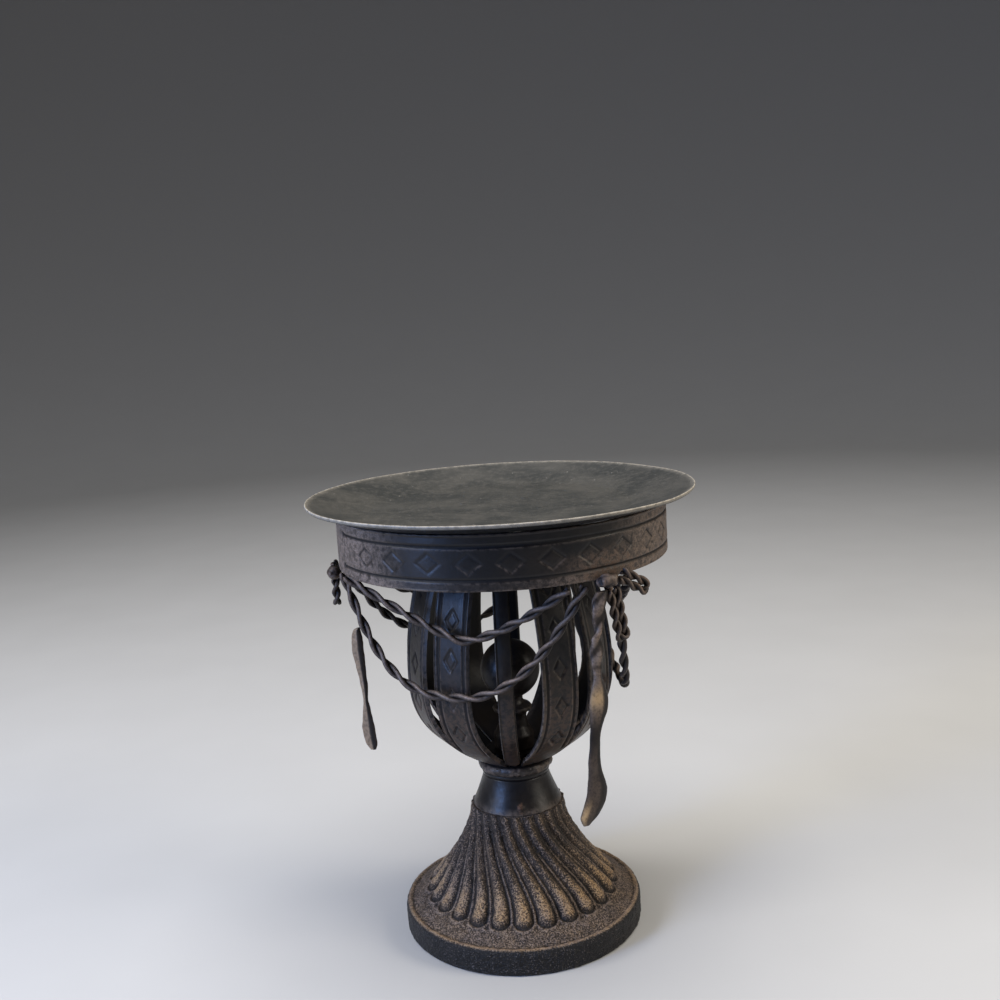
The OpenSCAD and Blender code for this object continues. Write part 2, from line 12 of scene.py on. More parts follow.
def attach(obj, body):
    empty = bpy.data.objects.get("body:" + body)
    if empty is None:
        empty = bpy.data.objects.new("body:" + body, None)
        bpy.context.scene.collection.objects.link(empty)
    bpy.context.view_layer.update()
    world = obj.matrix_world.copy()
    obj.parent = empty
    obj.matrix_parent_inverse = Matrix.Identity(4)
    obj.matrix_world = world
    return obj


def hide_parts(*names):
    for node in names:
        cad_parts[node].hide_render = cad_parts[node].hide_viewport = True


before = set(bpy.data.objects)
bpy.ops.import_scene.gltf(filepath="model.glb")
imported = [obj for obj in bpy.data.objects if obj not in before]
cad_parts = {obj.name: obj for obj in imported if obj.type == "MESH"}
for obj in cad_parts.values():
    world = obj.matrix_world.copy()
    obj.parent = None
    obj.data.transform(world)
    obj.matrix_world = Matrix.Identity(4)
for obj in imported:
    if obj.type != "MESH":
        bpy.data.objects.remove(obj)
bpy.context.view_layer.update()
MM = 0.001

# ---------------------------------------------------------------- sizes, as in the part's source
FOOT_R = 87 / 2
RIM_H = 9.3
FLUTE_END_R = 71 / 2
FLUTE_END_H = 12.4
FOOT_H = 45
FOOT_TOP_R = 34.2 / 2
FLUTE_N = 25
FLUTE_TURN = 33
FLUTE_FIRST = -8
FLUTE_DEPTH = 1.5
BELL_POWER = 1.65
FOOT_WALL = 3
CROWN_Z = FOOT_H - 8
BORE_R = 4.25

NECK_BASE_R = 32.4 / 2
NECK_TOP_R = 24 / 2
NECK_H = 11.5
COLLAR_R = 27.2 / 2
COLLAR_H = 5.8
COLLAR_Z = FOOT_H + NECK_H
HUB_Z = COLLAR_Z + COLLAR_H

BAR_T = 1.6
BELLY_R = (74 - BAR_T) / 2
BELLY_Z = HUB_Z + 36.6
CAGE_TOP_R = 48 / 2
CAGE_TURN = -3
HUB_WASHER_T = 1.6
STRAP_IN = BORE_R + 0.6
TOP_IN = CAGE_TOP_R - 11
BEND_R = 3
WIDE_W = 14
NARROW_W = 5.6
WEDGE_GAP = 0.12
NARROW_SHARE, WIDE_SHARE, EVEN_SHARE = 10, 20, 15
STAMP_INSET = 1.9
STAMP_W = 0.9
STAMP_DEPTH = 0.45

PAN_R = 136.4 / 2
PAN_FLOOR_R = 92 / 2
PAN_FLOOR_H = 155
PAN_RISE = 6
PAN_T = 1.2
HOOP_R = 116 / 2
HOOP_H = 17.9
HOOP_T = 1.8
HOOP_LINE_IN = 3.6
HOOP_DIAMONDS = 25
DIAMOND_W = 9.4
DIAMOND_H = 7.2
LAP_FROM, LAP_TO = -68, -90
DIAMOND_FIRST, DIAMOND_LAST = LAP_FROM + 17.6, LAP_TO + 360 - 6
SEAT_GAP = 0.25

BOW_LEFT, BOW_RIGHT, BOW_BACK = -84, 32, 157
WIRE_R = 1.7 / 2
TWIST_PITCH = 18
BOW_WIRE_R = 1.3 / 2 + 0.13  # a little more than in the source, as it looks
BOW_PITCH = 9.5
PAIR_SHARE = 0.97
STEPS_PER_TWIST = 7
GARLAND_R = 39.6
UPPER_INSET, LOWER_INSET = 11.5, 6
UPPER_SAG, FRONT_SAG, RIGHT_SAG, LEFT_SAG = 19.5, 40, 47, 34.5
UPPER_BEND = (0.53, 1.2, 1.45)
LOWER_BEND = (0.47, 2.9, 2.25)
BEAD_R = 2.6
BEAD_L = 8
TAIL_L, SHORT_TAIL_L = 74.5, 44


def pan_at(r):
    """Height of the pan's upper face at the radius r."""
    flare = np.maximum(0, (r - PAN_FLOOR_R) / (PAN_R - PAN_FLOOR_R))
    return PAN_FLOOR_H + PAN_RISE * flare ** 1.3


HOOP_TOP = pan_at(HOOP_R - HOOP_T) - PAN_T - SEAT_GAP
HOOP_BOTTOM = HOOP_TOP - HOOP_H
HOOP_LINES = (HOOP_LINE_IN, HOOP_H - HOOP_LINE_IN)


# ---------------------------------------------------------------- shape helpers
UP = np.array([0, 0, 1.0])


def unit(v):
    return v / np.linalg.norm(v, axis=-1, keepdims=True)


def ease(x):
    x = np.clip(x, 0, 1)
    return x * x * (3 - 2 * x)


def band(x, middle, width):
    """1 where x is at the middle, and less to both sides of it."""
    return np.exp(-((x - middle) / width) ** 2)


def circle(n):
    """n even steps round a circle, in degrees."""
    return np.arange(n) * 360 / n


def around(r, a, z):
    """The point at radius r, angle a in degrees and height z."""
    r, a, z = np.broadcast_arrays(np.asarray(r, float), np.radians(a), np.asarray(z, float))
    return np.stack([r * np.sin(a), -r * np.cos(a), z], -1)


def outwards(a):
    return around(1.0, a, 0.0)


def from_axis(p):
    return np.hypot(p[..., 0], p[..., 1])


def off_axis(p):
    """The level direction away from the axis, at each of the points p."""
    return unit(p * [1, 1, 0])


def along_hoop(a):
    return np.array([math.cos(math.radians(a)), math.sin(math.radians(a)), 0.0])


def run_length(p):
    return np.concatenate([[0], np.cumsum(np.linalg.norm(np.diff(p, axis=0), axis=1))])


def even_points(p, step):
    """The line through the points p, cut anew at even steps."""
    s = run_length(p)
    t = np.linspace(0, s[-1], max(3, int(round(s[-1] / step)) + 1))
    return np.stack([np.interp(t, s, p[:, k]) for k in range(p.shape[1])], -1), t


def headings(p):
    return unit(np.gradient(p, axis=0))


def value_noise(p, size, seed=0):
    """Smooth noise from -1 to 1 at the points p, with a lattice of that size."""
    q = np.asarray(p, float) / size + 500.5 + 17.3 * seed
    cell = np.floor(q).astype(np.int64)
    t = q - cell
    t = t * t * (3 - 2 * t)
    total = np.zeros(q.shape[:-1])
    for corner in np.ndindex(2, 2, 2):
        c = cell + np.array(corner)
        h = (c[..., 0] * 73856093 ^ c[..., 1] * 19349663 ^ c[..., 2] * 83492791) & 0xFFFFFFFF
        h = ((h ^ (h >> 13)) * 1274126177) & 0xFFFFFFFF
        h = h ^ (h >> 16)
        weight = np.prod(np.where(np.array(corner) == 1, t, 1 - t), axis=-1)
        total += weight * (h / 2.0 ** 31 - 1)
    return total


def rough_noise(p, size, seed=0, layers=3):
    """Layers of value noise, each half the size and half the strength of the one before."""
    return sum(value_noise(p, size / 2 ** k, seed + k) / 2 ** k for k in range(layers))


class Solid:
    """Closed tubes gathered into one mesh, with values painted on their points."""

    def __init__(self):
        self.points, self.quads, self.tris, self.paint, self.count = [], [], [], {}, 0

    def tube(self, rings, wrap=False, **paint):
        """A tube through rings (n, k, 3): capped at both ends, or joined end to end if wrap."""
        n, k = rings.shape[:2]
        i, j = np.meshgrid(np.arange(n if wrap else n - 1), np.arange(k), indexing="ij")
        i2, j2 = (i + 1) % n, (j + 1) % k
        quads = np.stack([i * k + j, i * k + j2, i2 * k + j2, i2 * k + j], -1).reshape(-1, 4)
        points = rings.reshape(-1, 3)
        values = {name: np.broadcast_to(v, (n, k)).reshape(-1) for name, v in paint.items()}
        tris = np.zeros((0, 3), int)
        if not wrap:
            j = np.arange(k)
            low, high = n * k, n * k + 1
            tris = np.concatenate([
                np.stack([np.full(k, low), (j + 1) % k, j], -1),
                np.stack([np.full(k, high), (n - 1) * k + j, (n - 1) * k + (j + 1) % k], -1)])
            points = np.concatenate([points, rings[:1].mean(1), rings[-1:].mean(1)])
            ends = {name: [v[:k].mean(), v[-k:].mean()] for name, v in values.items()}
            values = {name: np.concatenate([v, ends[name]]) for name, v in values.items()}
        if self.volume(points, quads, tris) < 0:
            quads, tris = quads[:, ::-1], tris[:, ::-1]
        self.points.append(points)
        self.quads.append(quads + self.count)
        self.tris.append(tris + self.count)
        for name, v in values.items():
            self.paint.setdefault(name, []).append((self.count, v))
        self.count += len(points)
        return self

    @staticmethod
    def volume(p, quads, tris):
        """Six times the volume inside the faces, negative if they look inwards."""
        total = 0.0
        for faces in (quads[:, :3], quads[:, [0, 2, 3]], tris):
            a, b, c = (p[faces[:, k]] for k in range(3))
            total += np.einsum("ij,ij->", a, np.cross(b, c))
        return total

    def build(self, name, finish, slot, *replaces):
        """Makes the object, in metres, and lets it ride on the stand."""
        points = np.concatenate(self.points) * MM
        quads, tris = np.concatenate(self.quads), np.concatenate(self.tris)
        mesh = bpy.data.meshes.new(name)
        mesh.vertices.add(len(points))
        mesh.vertices.foreach_set("co", points.astype(np.float32).ravel())
        corners = np.concatenate([quads.ravel(), tris.ravel()])
        sizes = np.concatenate([np.full(len(quads), 4), np.full(len(tris), 3)])
        mesh.loops.add(len(corners))
        mesh.loops.foreach_set("vertex_index", corners.astype(np.int32))
        mesh.polygons.add(len(sizes))
        mesh.polygons.foreach_set("loop_start", (np.cumsum(sizes) - sizes).astype(np.int32))
        mesh.update(calc_edges=True)
        mesh.validate()
        mesh.shade_smooth()
        for key, parts in self.paint.items():
            values = np.zeros(len(points), np.float32)
            for start, v in parts:
                values[start:start + len(v)] = v
            mesh.attributes.new(key, "FLOAT", "POINT").data.foreach_set("value", values)
        mesh.materials.append(finish)
        piece = bpy.data.objects.new(name, mesh)
        bpy.context.scene.collection.objects.link(piece)
        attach(piece, "root")
        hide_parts(*replaces)
        return piece


def lathe(profile, columns):
    """Rings of a turned shape: profile is a closed outline of (radius, height)."""
    a = circle(columns)
    return around(profile[None, :, 0], a[:, None], profile[None, :, 1])


# ---------------------------------------------------------------- finishes
class Shader:
    """A material built node by node. Values may be numbers, colours or other nodes' sockets."""

    def __init__(self, name):
        self.material = bpy.data.materials.new(name)
        self.material.use_nodes = True
        self.tree = self.material.node_tree
        self.tree.nodes.clear()
        self.place = self.node("ShaderNodeTexCoord").outputs["Object"]

    def node(self, kind, inputs=None, **settings):
        made = self.tree.nodes.new(kind)
        for key, value in settings.items():
            setattr(made, key, value)
        for key, value in (inputs or {}).items():
            if isinstance(value, bpy.types.NodeSocket):
                self.tree.links.new(value, made.inputs[key])
            else:
                made.inputs[key].default_value = value
        return made

    def painted(self, name):
        """A value painted on the mesh's points, 0 where there is none."""
        return self.node("ShaderNodeAttribute", attribute_name=name).outputs["Fac"]

    def share(self, name, by):
        """A painted value times a number or a pattern, at most 1."""
        return self.math("MULTIPLY", self.painted(name), by, True)

    def noise(self, size, detail=3.0, roughness=0.5, distortion=0.0):
        """Noise whose features are about that many millimetres wide."""
        return self.node("ShaderNodeTexNoise", {
            "Vector": self.place, "Scale": 1 / (size * MM), "Detail": detail,
            "Roughness": roughness, "Distortion": distortion}).outputs["Fac"]

    def grains(self, size):
        return self.node("ShaderNodeTexVoronoi", {
            "Vector": self.place, "Scale": 1 / (size * MM)}).outputs["Distance"]

    def math(self, operation, a, b=0.0, clamp=False):
        return self.node("ShaderNodeMath", {0: a, 1: b}, operation=operation,
                         use_clamp=clamp).outputs[0]

    def span(self, value, low, high, to_low=0.0, to_high=1.0):
        """value from low to high turned into to_low to to_high, smoothly and no further."""
        return self.node("ShaderNodeMapRange", {
            "Value": value, "From Min": low, "From Max": high, "To Min": to_low,
            "To Max": to_high}, interpolation_type="SMOOTHSTEP").outputs["Result"]

    def mix(self, share, a, b):
        return self.node("ShaderNodeMix", {0: share, 6: a, 7: b}, data_type="RGBA").outputs[2]

    def bump(self, height, depth, under=None):
        """Bumps of that depth in millimetres, on top of the bumps under them."""
        inputs = {"Height": height, "Distance": depth * MM, "Strength": 1.0}
        if under is not None:
            inputs["Normal"] = under
        return self.node("ShaderNodeBump", inputs).outputs["Normal"]

    def finish(self, colour, roughness, normal, metallic=0.0, **constants):
        surface = self.node("ShaderNodeBsdfPrincipled", {
            "Base Color": colour, "Roughness": roughness, "Normal": normal, "Metallic": metallic,
            **{key.replace("_", " "): value for key, value in constants.items()}})
        out = self.node("ShaderNodeOutputMaterial")
        self.tree.links.new(surface.outputs[0], out.inputs["Surface"])
        return self.material


def rgb(r, g, b):
    return (r, g, b, 1.0)


# near black for painted shade in creases, grooves and between wires
SHADE_BLACK = rgb(0.006, 0.005, 0.005)


def cast_iron_finish():
    """Gritty black-brown casting, dry-brushed with dusty grey and bronze on what stands proud; more
    bronze as painted warm light on the right, and painted shade in the creases.
    """
    s = Shader("cast_iron_bronzed")
    fine, coarse = s.noise(0.5, 2.0, 0.6), s.noise(1.7, 3.0, 0.6)
    grit = s.math("ADD", s.math("MULTIPLY", fine, 0.8), s.math("MULTIPLY", coarse, 0.2))
    cloud = s.noise(9.0, 3.0)
    dark = s.mix(s.span(cloud, 0.35, 0.7), rgb(0.015, 0.0105, 0.0085), rgb(0.038, 0.025, 0.017))
    side = s.mix(s.span(grit, 0.55, 0.68), rgb(0.006, 0.0055, 0.006), rgb(0.12, 0.105, 0.10))
    dusty = s.mix(s.span(cloud, 0.4, 0.6), rgb(0.235, 0.178, 0.145), rgb(0.285, 0.208, 0.150))
    bronze = s.mix(s.span(grit, 0.45, 0.6), rgb(0.25, 0.155, 0.085), rgb(0.47, 0.325, 0.180))
    # the brush takes the highest grit everywhere, and more of it where the mesh says
    brushed = s.span(s.math("ADD", grit, s.share("rub", 0.20)), 0.52, 0.74)
    # bronze on the lobes' ends and the rim's line, and painted warm light on the right
    gold = s.share("gold", s.span(cloud, 0.3, 0.6, 0.55, 1.0))
    colour = s.mix(brushed, dark, s.mix(gold, dusty, bronze))
    colour = s.mix(s.painted("side"), colour, side)
    # painted shade in the creases
    colour = s.mix(s.share("pit", 0.85), colour, SHADE_BLACK)
    rough = s.span(grit, 0.4, 0.62, 0.42, 0.62)
    metal = s.math("MULTIPLY", s.math("MULTIPLY", gold, brushed), 0.35, True)
    normal = s.bump(s.grains(0.9), 0.2, s.bump(grit, 0.7))
    return s.finish(colour, rough, normal, metal, Specular_IOR_Level=0.3)


def black_paint_finish():
    """Satin blue-black paint, worn brown and dusty where the mesh says, with painted highlights on
    the stamps' lower edges and painted shade in the stamps.
    """
    s = Shader("worn_black_paint")
    cloud = s.noise(14.0, 3.0, 0.6, 0.4)
    mottle = s.noise(1.6, 5.0, 0.65, 0.3)
    fine = s.noise(0.35, 2.0)
    paint = s.mix(s.span(cloud, 0.35, 0.68),
                  rgb(0.0045, 0.0048, 0.0065), rgb(0.012, 0.0095, 0.0085))
    dust = s.mix(s.span(fine, 0.35, 0.65), rgb(0.105, 0.078, 0.062), rgb(0.215, 0.168, 0.140))
    # wear, and painted highlights on the lozenges' lower edges
    worn = s.share("rub", s.span(mottle, 0.36, 0.6))
    dusty = s.share("dust", s.span(mottle, 0.34, 0.62, 0.2, 1.0))
    rusty = s.share("rust", s.span(mottle, 0.42, 0.6))
    colour = s.mix(worn, paint, rgb(0.150, 0.116, 0.094))
    colour = s.mix(dusty, colour, dust)
    colour = s.mix(rusty, colour, rgb(0.085, 0.048, 0.031))
    # painted shade in the stamps
    colour = s.mix(s.share("pit", 0.9), colour, rgb(0.004, 0.0035, 0.004))
    dull = s.math("MAXIMUM", s.math("MAXIMUM", dusty, worn), s.painted("pit"))
    satin = s.span(mottle, 0.3, 0.7, 0.30, 0.42)
    rough = s.math("ADD", satin, s.math("MULTIPLY", dull, 0.35), True)
    normal = s.bump(fine, 0.018, s.bump(mottle, 0.07))
    return s.finish(colour, rough, normal, Specular_IOR_Level=0.27)


def pan_paint_finish():
    """Satin grey-green paint with fine flecks, rubbed to a pale beige on the rim."""
    s = Shader("pan_grey_green")
    cloud = s.noise(22.0, 3.0, 0.6, 0.5)
    mottle = s.noise(2.2, 5.0, 0.6)
    fine = s.noise(0.4, 2.0)
    flecks = s.math("MULTIPLY", s.span(s.grains(3.4), 0.09, 0.04),
                    s.span(mottle, 0.48, 0.58, 0.0, 0.9))
    worn = s.share("rub", s.span(mottle, 0.36, 0.58, 0.55, 1.0))
    colour = s.mix(s.span(cloud, 0.35, 0.65), rgb(0.040, 0.041, 0.038), rgb(0.072, 0.069, 0.061))
    colour = s.mix(s.span(mottle, 0.45, 0.75, 0.0, 0.5), colour, rgb(0.105, 0.096, 0.083))
    colour = s.mix(flecks, colour, rgb(0.36, 0.34, 0.31))
    colour = s.mix(worn, colour, rgb(0.42, 0.375, 0.31))
    # painted shade: the underside is near black
    colour = s.mix(s.painted("under"), colour, rgb(0.006, 0.006, 0.007))
    satin = s.span(mottle, 0.3, 0.7, 0.28, 0.42)
    rough = s.math("ADD", satin, s.math("MULTIPLY", worn, 0.25), True)
    normal = s.bump(fine, 0.012, s.bump(mottle, 0.03))
    return s.finish(colour, rough, normal, Specular_IOR_Level=0.4)


def wire_finish():
    """Dark brown iron, rubbed to a greyish beige and given painted highlights on the upper sides
    where the mesh says, golden ones on the tails, and painted shade.
    """
    s = Shader("brown_iron_wire")
    cloud = s.noise(7.0, 3.0)
    mottle = s.noise(0.9, 4.0, 0.6)
    fine = s.noise(0.25, 2.0)
    dark = s.mix(s.span(cloud, 0.35, 0.65), rgb(0.009, 0.008, 0.009), rgb(0.024, 0.018, 0.016))
    light = s.mix(s.span(cloud, 0.4, 0.6), rgb(0.270, 0.198, 0.156), rgb(0.215, 0.170, 0.144))
    rubbed = s.share("rub", s.span(mottle, 0.34, 0.6, 0.45, 1.0))
    # golden painted highlights on the tails
    golden_highlight = s.share("gold", s.span(mottle, 0.3, 0.55, 0.5, 1.0))
    rusty = s.share("rust", s.span(mottle, 0.40, 0.6))
    colour = s.mix(rubbed, dark, light)
    colour = s.mix(golden_highlight, colour, rgb(0.44, 0.31, 0.175))
    colour = s.mix(rusty, colour, rgb(0.115, 0.072, 0.050))
    # painted shade between the wires and in hollows
    colour = s.mix(s.share("pit", 0.85), colour, SHADE_BLACK)
    rough = s.span(mottle, 0.3, 0.7, 0.36, 0.56)
    metal = s.math("MULTIPLY", rubbed, 0.2, True)
    normal = s.bump(fine, 0.02, s.bump(mottle, 0.10))
    return s.finish(colour, rough, normal, metal, Specular_IOR_Level=0.22)


def zinc_finish():
    """Zinc plate with a faint bloom and fine marks."""
    s = Shader("zinc_plate")
    cloud = s.noise(4.0, 4.0)
    colour = s.mix(s.span(cloud, 0.35, 0.65), rgb(0.42, 0.42, 0.43), rgb(0.30, 0.30, 0.29))
    rough = s.span(cloud, 0.3, 0.7, 0.28, 0.45)
    return s.finish(colour, rough, s.bump(s.noise(0.3, 2.0), 0.02), 0.9)


# ---------------------------------------------------------------- foot
def bell_r(z):
    s = np.clip((z - FLUTE_END_H) / (FOOT_H - FLUTE_END_H), 0, 1)
    return FOOT_TOP_R + (FLUTE_END_R - FOOT_TOP_R) * (1 - s) ** BELL_POWER


def groove(z):
    """Depth of the grooves under the crests of the flutes."""
    upper, lower = ease((FOOT_H - z) / 10), ease((FLUTE_END_H + 8 - z) / 8)
    return FLUTE_DEPTH * (0.5 + 0.5 * upper + 0.55 * lower)


def flute_lag(z):
    return FLUTE_TURN * ease((z - FLUTE_END_H - 2) / (FOOT_H + 1 - FLUTE_END_H))


FOOT_COLUMNS = FLUTE_N * 24
FOOT_STEP = 0.44
LOBE_GAP = 1.05
UPPER_GAP_SHARE = 0.27
RIDGE_H = 0.55
RIDGE_W = 0.75


def foot_profile():
    """Outer line of the casting without its flutes, from the top down to the rim's lower edge."""
    z = np.linspace(FOOT_H, FLUTE_END_H + 0.6, 60)
    bell = np.stack([bell_r(z) - groove(z), z], -1)
    border = [[FLUTE_END_R + 0.5, FLUTE_END_H - 0.8], [FOOT_R - 2.6, RIM_H - 0.25],
              [FOOT_R - 2.1, RIM_H - 0.2], [FOOT_R - 1.8, RIM_H], [FOOT_R - 1.2, RIM_H],
              [FOOT_R - 0.6, RIM_H - 0.3], [FOOT_R - 0.25, RIM_H - 0.9], [FOOT_R - 0.05, RIM_H - 2],
              [FOOT_R - 0.05, 1.0], [FOOT_R - 0.35, 0.3], [FOOT_R - 0.9, 0.0]]
    return even_points(np.concatenate([bell, border]), FOOT_STEP)


def foot():
    profile, s = foot_profile()
    n = headings(profile)
    normal = np.stack([-n[:, 1], n[:, 0]], -1)
    r, z = profile[:, :1], profile[:, 1:]
    end = np.interp(-(FLUTE_END_H + 0.2), -profile[:, 1], s)
    column = np.arange(FOOT_COLUMNS) / FOOT_COLUMNS * FLUTE_N
    cell = (column - np.round(column))[None, :]
    half = math.pi * r / FLUTE_N
    # a lobe's outline: slim in its upper run, with parallel sides and a round lower end
    low = ease((27 - z) / 13)
    lobe_half = half - (UPPER_GAP_SHARE * half * (1 - low) + LOBE_GAP * low)
    end_half = math.pi * FLUTE_END_R / FLUTE_N - LOBE_GAP
    past = np.maximum(0, s[:, None] - (end + 1.2 - end_half))
    away = np.hypot(cell * 2 * half, past * lobe_half / end_half)
    share = np.clip(away / lobe_half, 0, 1)
    height = groove(z) * (1 - share ** (1.55 + 1.0 * low)) ** (1.0 - 0.2 * low)
    ridge = RIDGE_H * ease((38 - z) / 12) * band(away, half, RIDGE_W / 1.7) * (z > RIM_H + 0.6)
    rise = height + ridge * (share >= 1)
    lag = flute_lag(np.maximum(z, FLUTE_END_H))
    angle = FLUTE_FIRST + 180 / FLUTE_N + column[None, :] * 360 / FLUTE_N - lag
    skin = around(r, angle, z)
    way = around(normal[:, :1], angle, normal[:, 1:])
    grit = 0.14 * rough_noise(skin, 1.9, 3) + 0.09 * value_noise(skin, 0.9, 9)
    skin = skin + way * (rise + grit * (z > 0.5))[..., None]
    # brushed light on crests and ridges, gold on the lobes' ends and the rim's line and as painted
    # warm light on the lower crests towards the right, painted shade in the creases between
    crest = (1 - share ** 2) * (0.35 + 0.3 * low) * (z > FLUTE_END_H - 1.5)
    nose = band(s[:, None], end - 5, 7) * (1 - share ** 2)
    on_ridge = ridge / RIDGE_H * (share >= 1)
    border = (s[:, None] > end + 1.6) * (z < FLUTE_END_H) * (1 - on_ridge)
    rub = np.clip(crest + 0.45 * nose + 0.85 * on_ridge + 0.5 * border, 0, 1)
    lower_run = ease((36 - z) / 18)
    warm_lit_side = 1 + np.sin(np.radians(angle))
    gold = np.clip(0.9 * nose + 0.35 * lower_run * (1 - share) * warm_lit_side, 0, 1)
    at_rim = (r > FOOT_R - 2.7) & (z > RIM_H - 1.1)
    line = band(r, FOOT_R - 1.4, 0.8)
    rub = np.where(at_rim, 1.3 * line, rub)
    gold = np.where(at_rim, 0.55 * line, gold)
    pit = band(away, lobe_half + 0.1, 0.45) * (z > FLUTE_END_H - 1.2) * (0.55 + 0.45 * low)
    side = ease((r - (FOOT_R - 0.9)) / 0.5) * (z < RIM_H)
    inner = foot_hollow_rings(angle)
    rings = np.concatenate([skin, inner])
    blank = np.zeros(inner.shape[:2])
    paint = {"rub": rub, "gold": gold, "pit": pit, "side": side}
    paint = {key: np.concatenate([np.broadcast_to(v, skin.shape[:2]), blank])
             for key, v in paint.items()}
    solid = Solid().tube(rings, wrap=True, **paint)
    solid.build("foot_swirl_casting", CAST_IRON, "cast_foot", "foot_casting")


def foot_hollow_rings(angle):
    """The casting's underside, from the rim up to the crown and out through the bore."""
    wall_r = FOOT_R - FOOT_WALL - 1
    z = np.linspace(FLUTE_END_H, CROWN_Z, 14)
    inside = np.stack([bell_r(z) - FOOT_WALL - FLUTE_DEPTH, z], -1)
    line = np.concatenate([
        [[wall_r + 0.4, 0.0], [wall_r, 0.4], [wall_r, RIM_H - FOOT_WALL - 2.4],
         [wall_r - 0.4, RIM_H - FOOT_WALL - 2], [FLUTE_END_R + 1, RIM_H - FOOT_WALL],
         [FLUTE_END_R - 4, FLUTE_END_H - 1]],
        inside,
        [[BORE_R + 0.3, CROWN_Z], [BORE_R, CROWN_Z + 0.3], [BORE_R, FOOT_H - 0.3],
         [BORE_R + 0.3, FOOT_H], [FOOT_TOP_R - 1.2, FOOT_H]]])
    return around(line[:, :1], angle[-1:], line[:, 1:])


# ---------------------------------------------------------------- neck and collar
def neck():
    s = np.linspace(0, 1, 40)
    outer = np.stack([NECK_TOP_R + (NECK_BASE_R - NECK_TOP_R) * (1 - s) ** 1.25,
                      FOOT_H + 0.3 + (NECK_H - 0.3) * s], -1)
    profile = np.concatenate([[[BORE_R, FOOT_H], [NECK_BASE_R - 0.3, FOOT_H]], outer,
                              [[BORE_R, FOOT_H + NECK_H]]])
    rings = lathe(profile, 200)
    out = off_axis(rings)
    rings = rings + out * (0.07 * value_noise(rings, 4, 5))[..., None]
    rings = rings + out * neck_drip(rings)[..., None]
    low = ease((FOOT_H + 3 - rings[..., 2]) / 3)
    solid = Solid().tube(rings, wrap=True, rub=0.35 * low, dust=0.25 * low,
                         rust=neck_drip(rings) > 0.1)
    solid.build("neck_cone", BLACK_PAINT, "black_steel", "neck_ferrule")


def neck_drip(rings):
    """A small run of paint low on the neck's front."""
    spot = around(15.3, 4, FOOT_H + 2.6)
    d = (rings - spot) / [1.3, 2.5, 2.0]
    return 0.45 * np.exp(-np.sum(d * d, -1) * 1.6)


def collar():
    """Rough bead between the neck and the cage: a slim waist and a lumpy roll over it."""
    bead = np.radians(np.arange(-80, 81, 10))
    bead_r = COLLAR_R - 1.8 + 1.8 * np.cos(bead)
    bead_z = COLLAR_Z + COLLAR_H * (0.62 + 0.32 * np.sin(bead))
    profile = np.concatenate([
        [[BORE_R, COLLAR_Z], [NECK_TOP_R, COLLAR_Z],
         [NECK_TOP_R + 0.45, COLLAR_Z + 0.25 * COLLAR_H]],
        np.stack([bead_r, bead_z], -1),
        [[NECK_TOP_R, COLLAR_Z + COLLAR_H], [BORE_R, COLLAR_Z + COLLAR_H]]])
    rings = lathe(profile, 240)
    proud = ease(from_axis(rings) - NECK_TOP_R - 0.4)
    lumps = 0.28 * rough_noise(rings, 2.6, 21) * proud
    rings = rings + off_axis(rings) * (lumps - 0.12 * proud)[..., None]
    solid = Solid().tube(rings, wrap=True, rub=0.5 * proud * (lumps > 0), dust=0.2 * proud)
    solid.build("collar_bead", BLACK_PAINT, "black_steel", "collar_ring")


# ---------------------------------------------------------------- cage
def strap_line():
    """Middle line of a strap as (radius, height), from the hub up to the tab under the pan."""
    z0 = HUB_Z + BAR_T / 2
    tab_z = PAN_FLOOR_H - PAN_T - BAR_T / 2
    shoulder_z = tab_z - BEND_R
    s = np.linspace(0, 1, 60)[:, None]
    belly_r = NECK_TOP_R + (BELLY_R - NECK_TOP_R) * (1 - (1 - s) ** 2.7)
    belly = np.hstack([belly_r, z0 + (BELLY_Z - z0) * s])
    shoulder_r = BELLY_R - (BELLY_R - CAGE_TOP_R) * s ** 1.8
    shoulder = np.hstack([shoulder_r, BELLY_Z + (shoulder_z - BELLY_Z) * s])
    a = np.radians(np.linspace(10, 90, 9))[:, None]
    bend = np.hstack([CAGE_TOP_R - BEND_R * (1 - np.cos(a)), shoulder_z + BEND_R * np.sin(a)])
    return np.concatenate([[[STRAP_IN, z0]], belly, shoulder[1:], bend, [[TOP_IN, tab_z]]])


STRAP_STEP = 0.42
STRAP_COLUMN = 0.4
EDGE_R = 0.42
STRAP_DIAMOND_W = 5.4
STRAP_DIAMOND_H = 8.2
STRAP_DIAMOND_PITCH = 13.5
STRAP_DIAMOND_FIRST = (31.5, 35.5)


def window(distance, half, soft):
    """1 inside half the width, 0 outside, with soft sides."""
    return ease((half + soft / 2 - np.abs(distance)) / soft)


def lozenge(across, along, wide, tall, edge, middle, lean):
    """A punched lozenge, a sunk outline round a faint hollow: its depth, a painted highlight on its
    lower edge, and its painted shade, darkest on the outline's side of the lean, -1 left to 1
    right."""
    reach = np.abs(across) / (wide / 2) + np.abs(along) / (tall / 2)
    depth = edge * band(reach, 0.86, 0.15) + middle * ease((0.9 - reach) / 0.4)
    lit = band(reach, 0.96, 0.13) * ease(-along / 0.6)
    turned = ease(0.5 + 0.5 * np.sign(across) * np.clip(lean * 1.6, -1, 1))
    return depth, lit, band(reach, 0.84, 0.14) * (0.25 + 0.75 * turned)


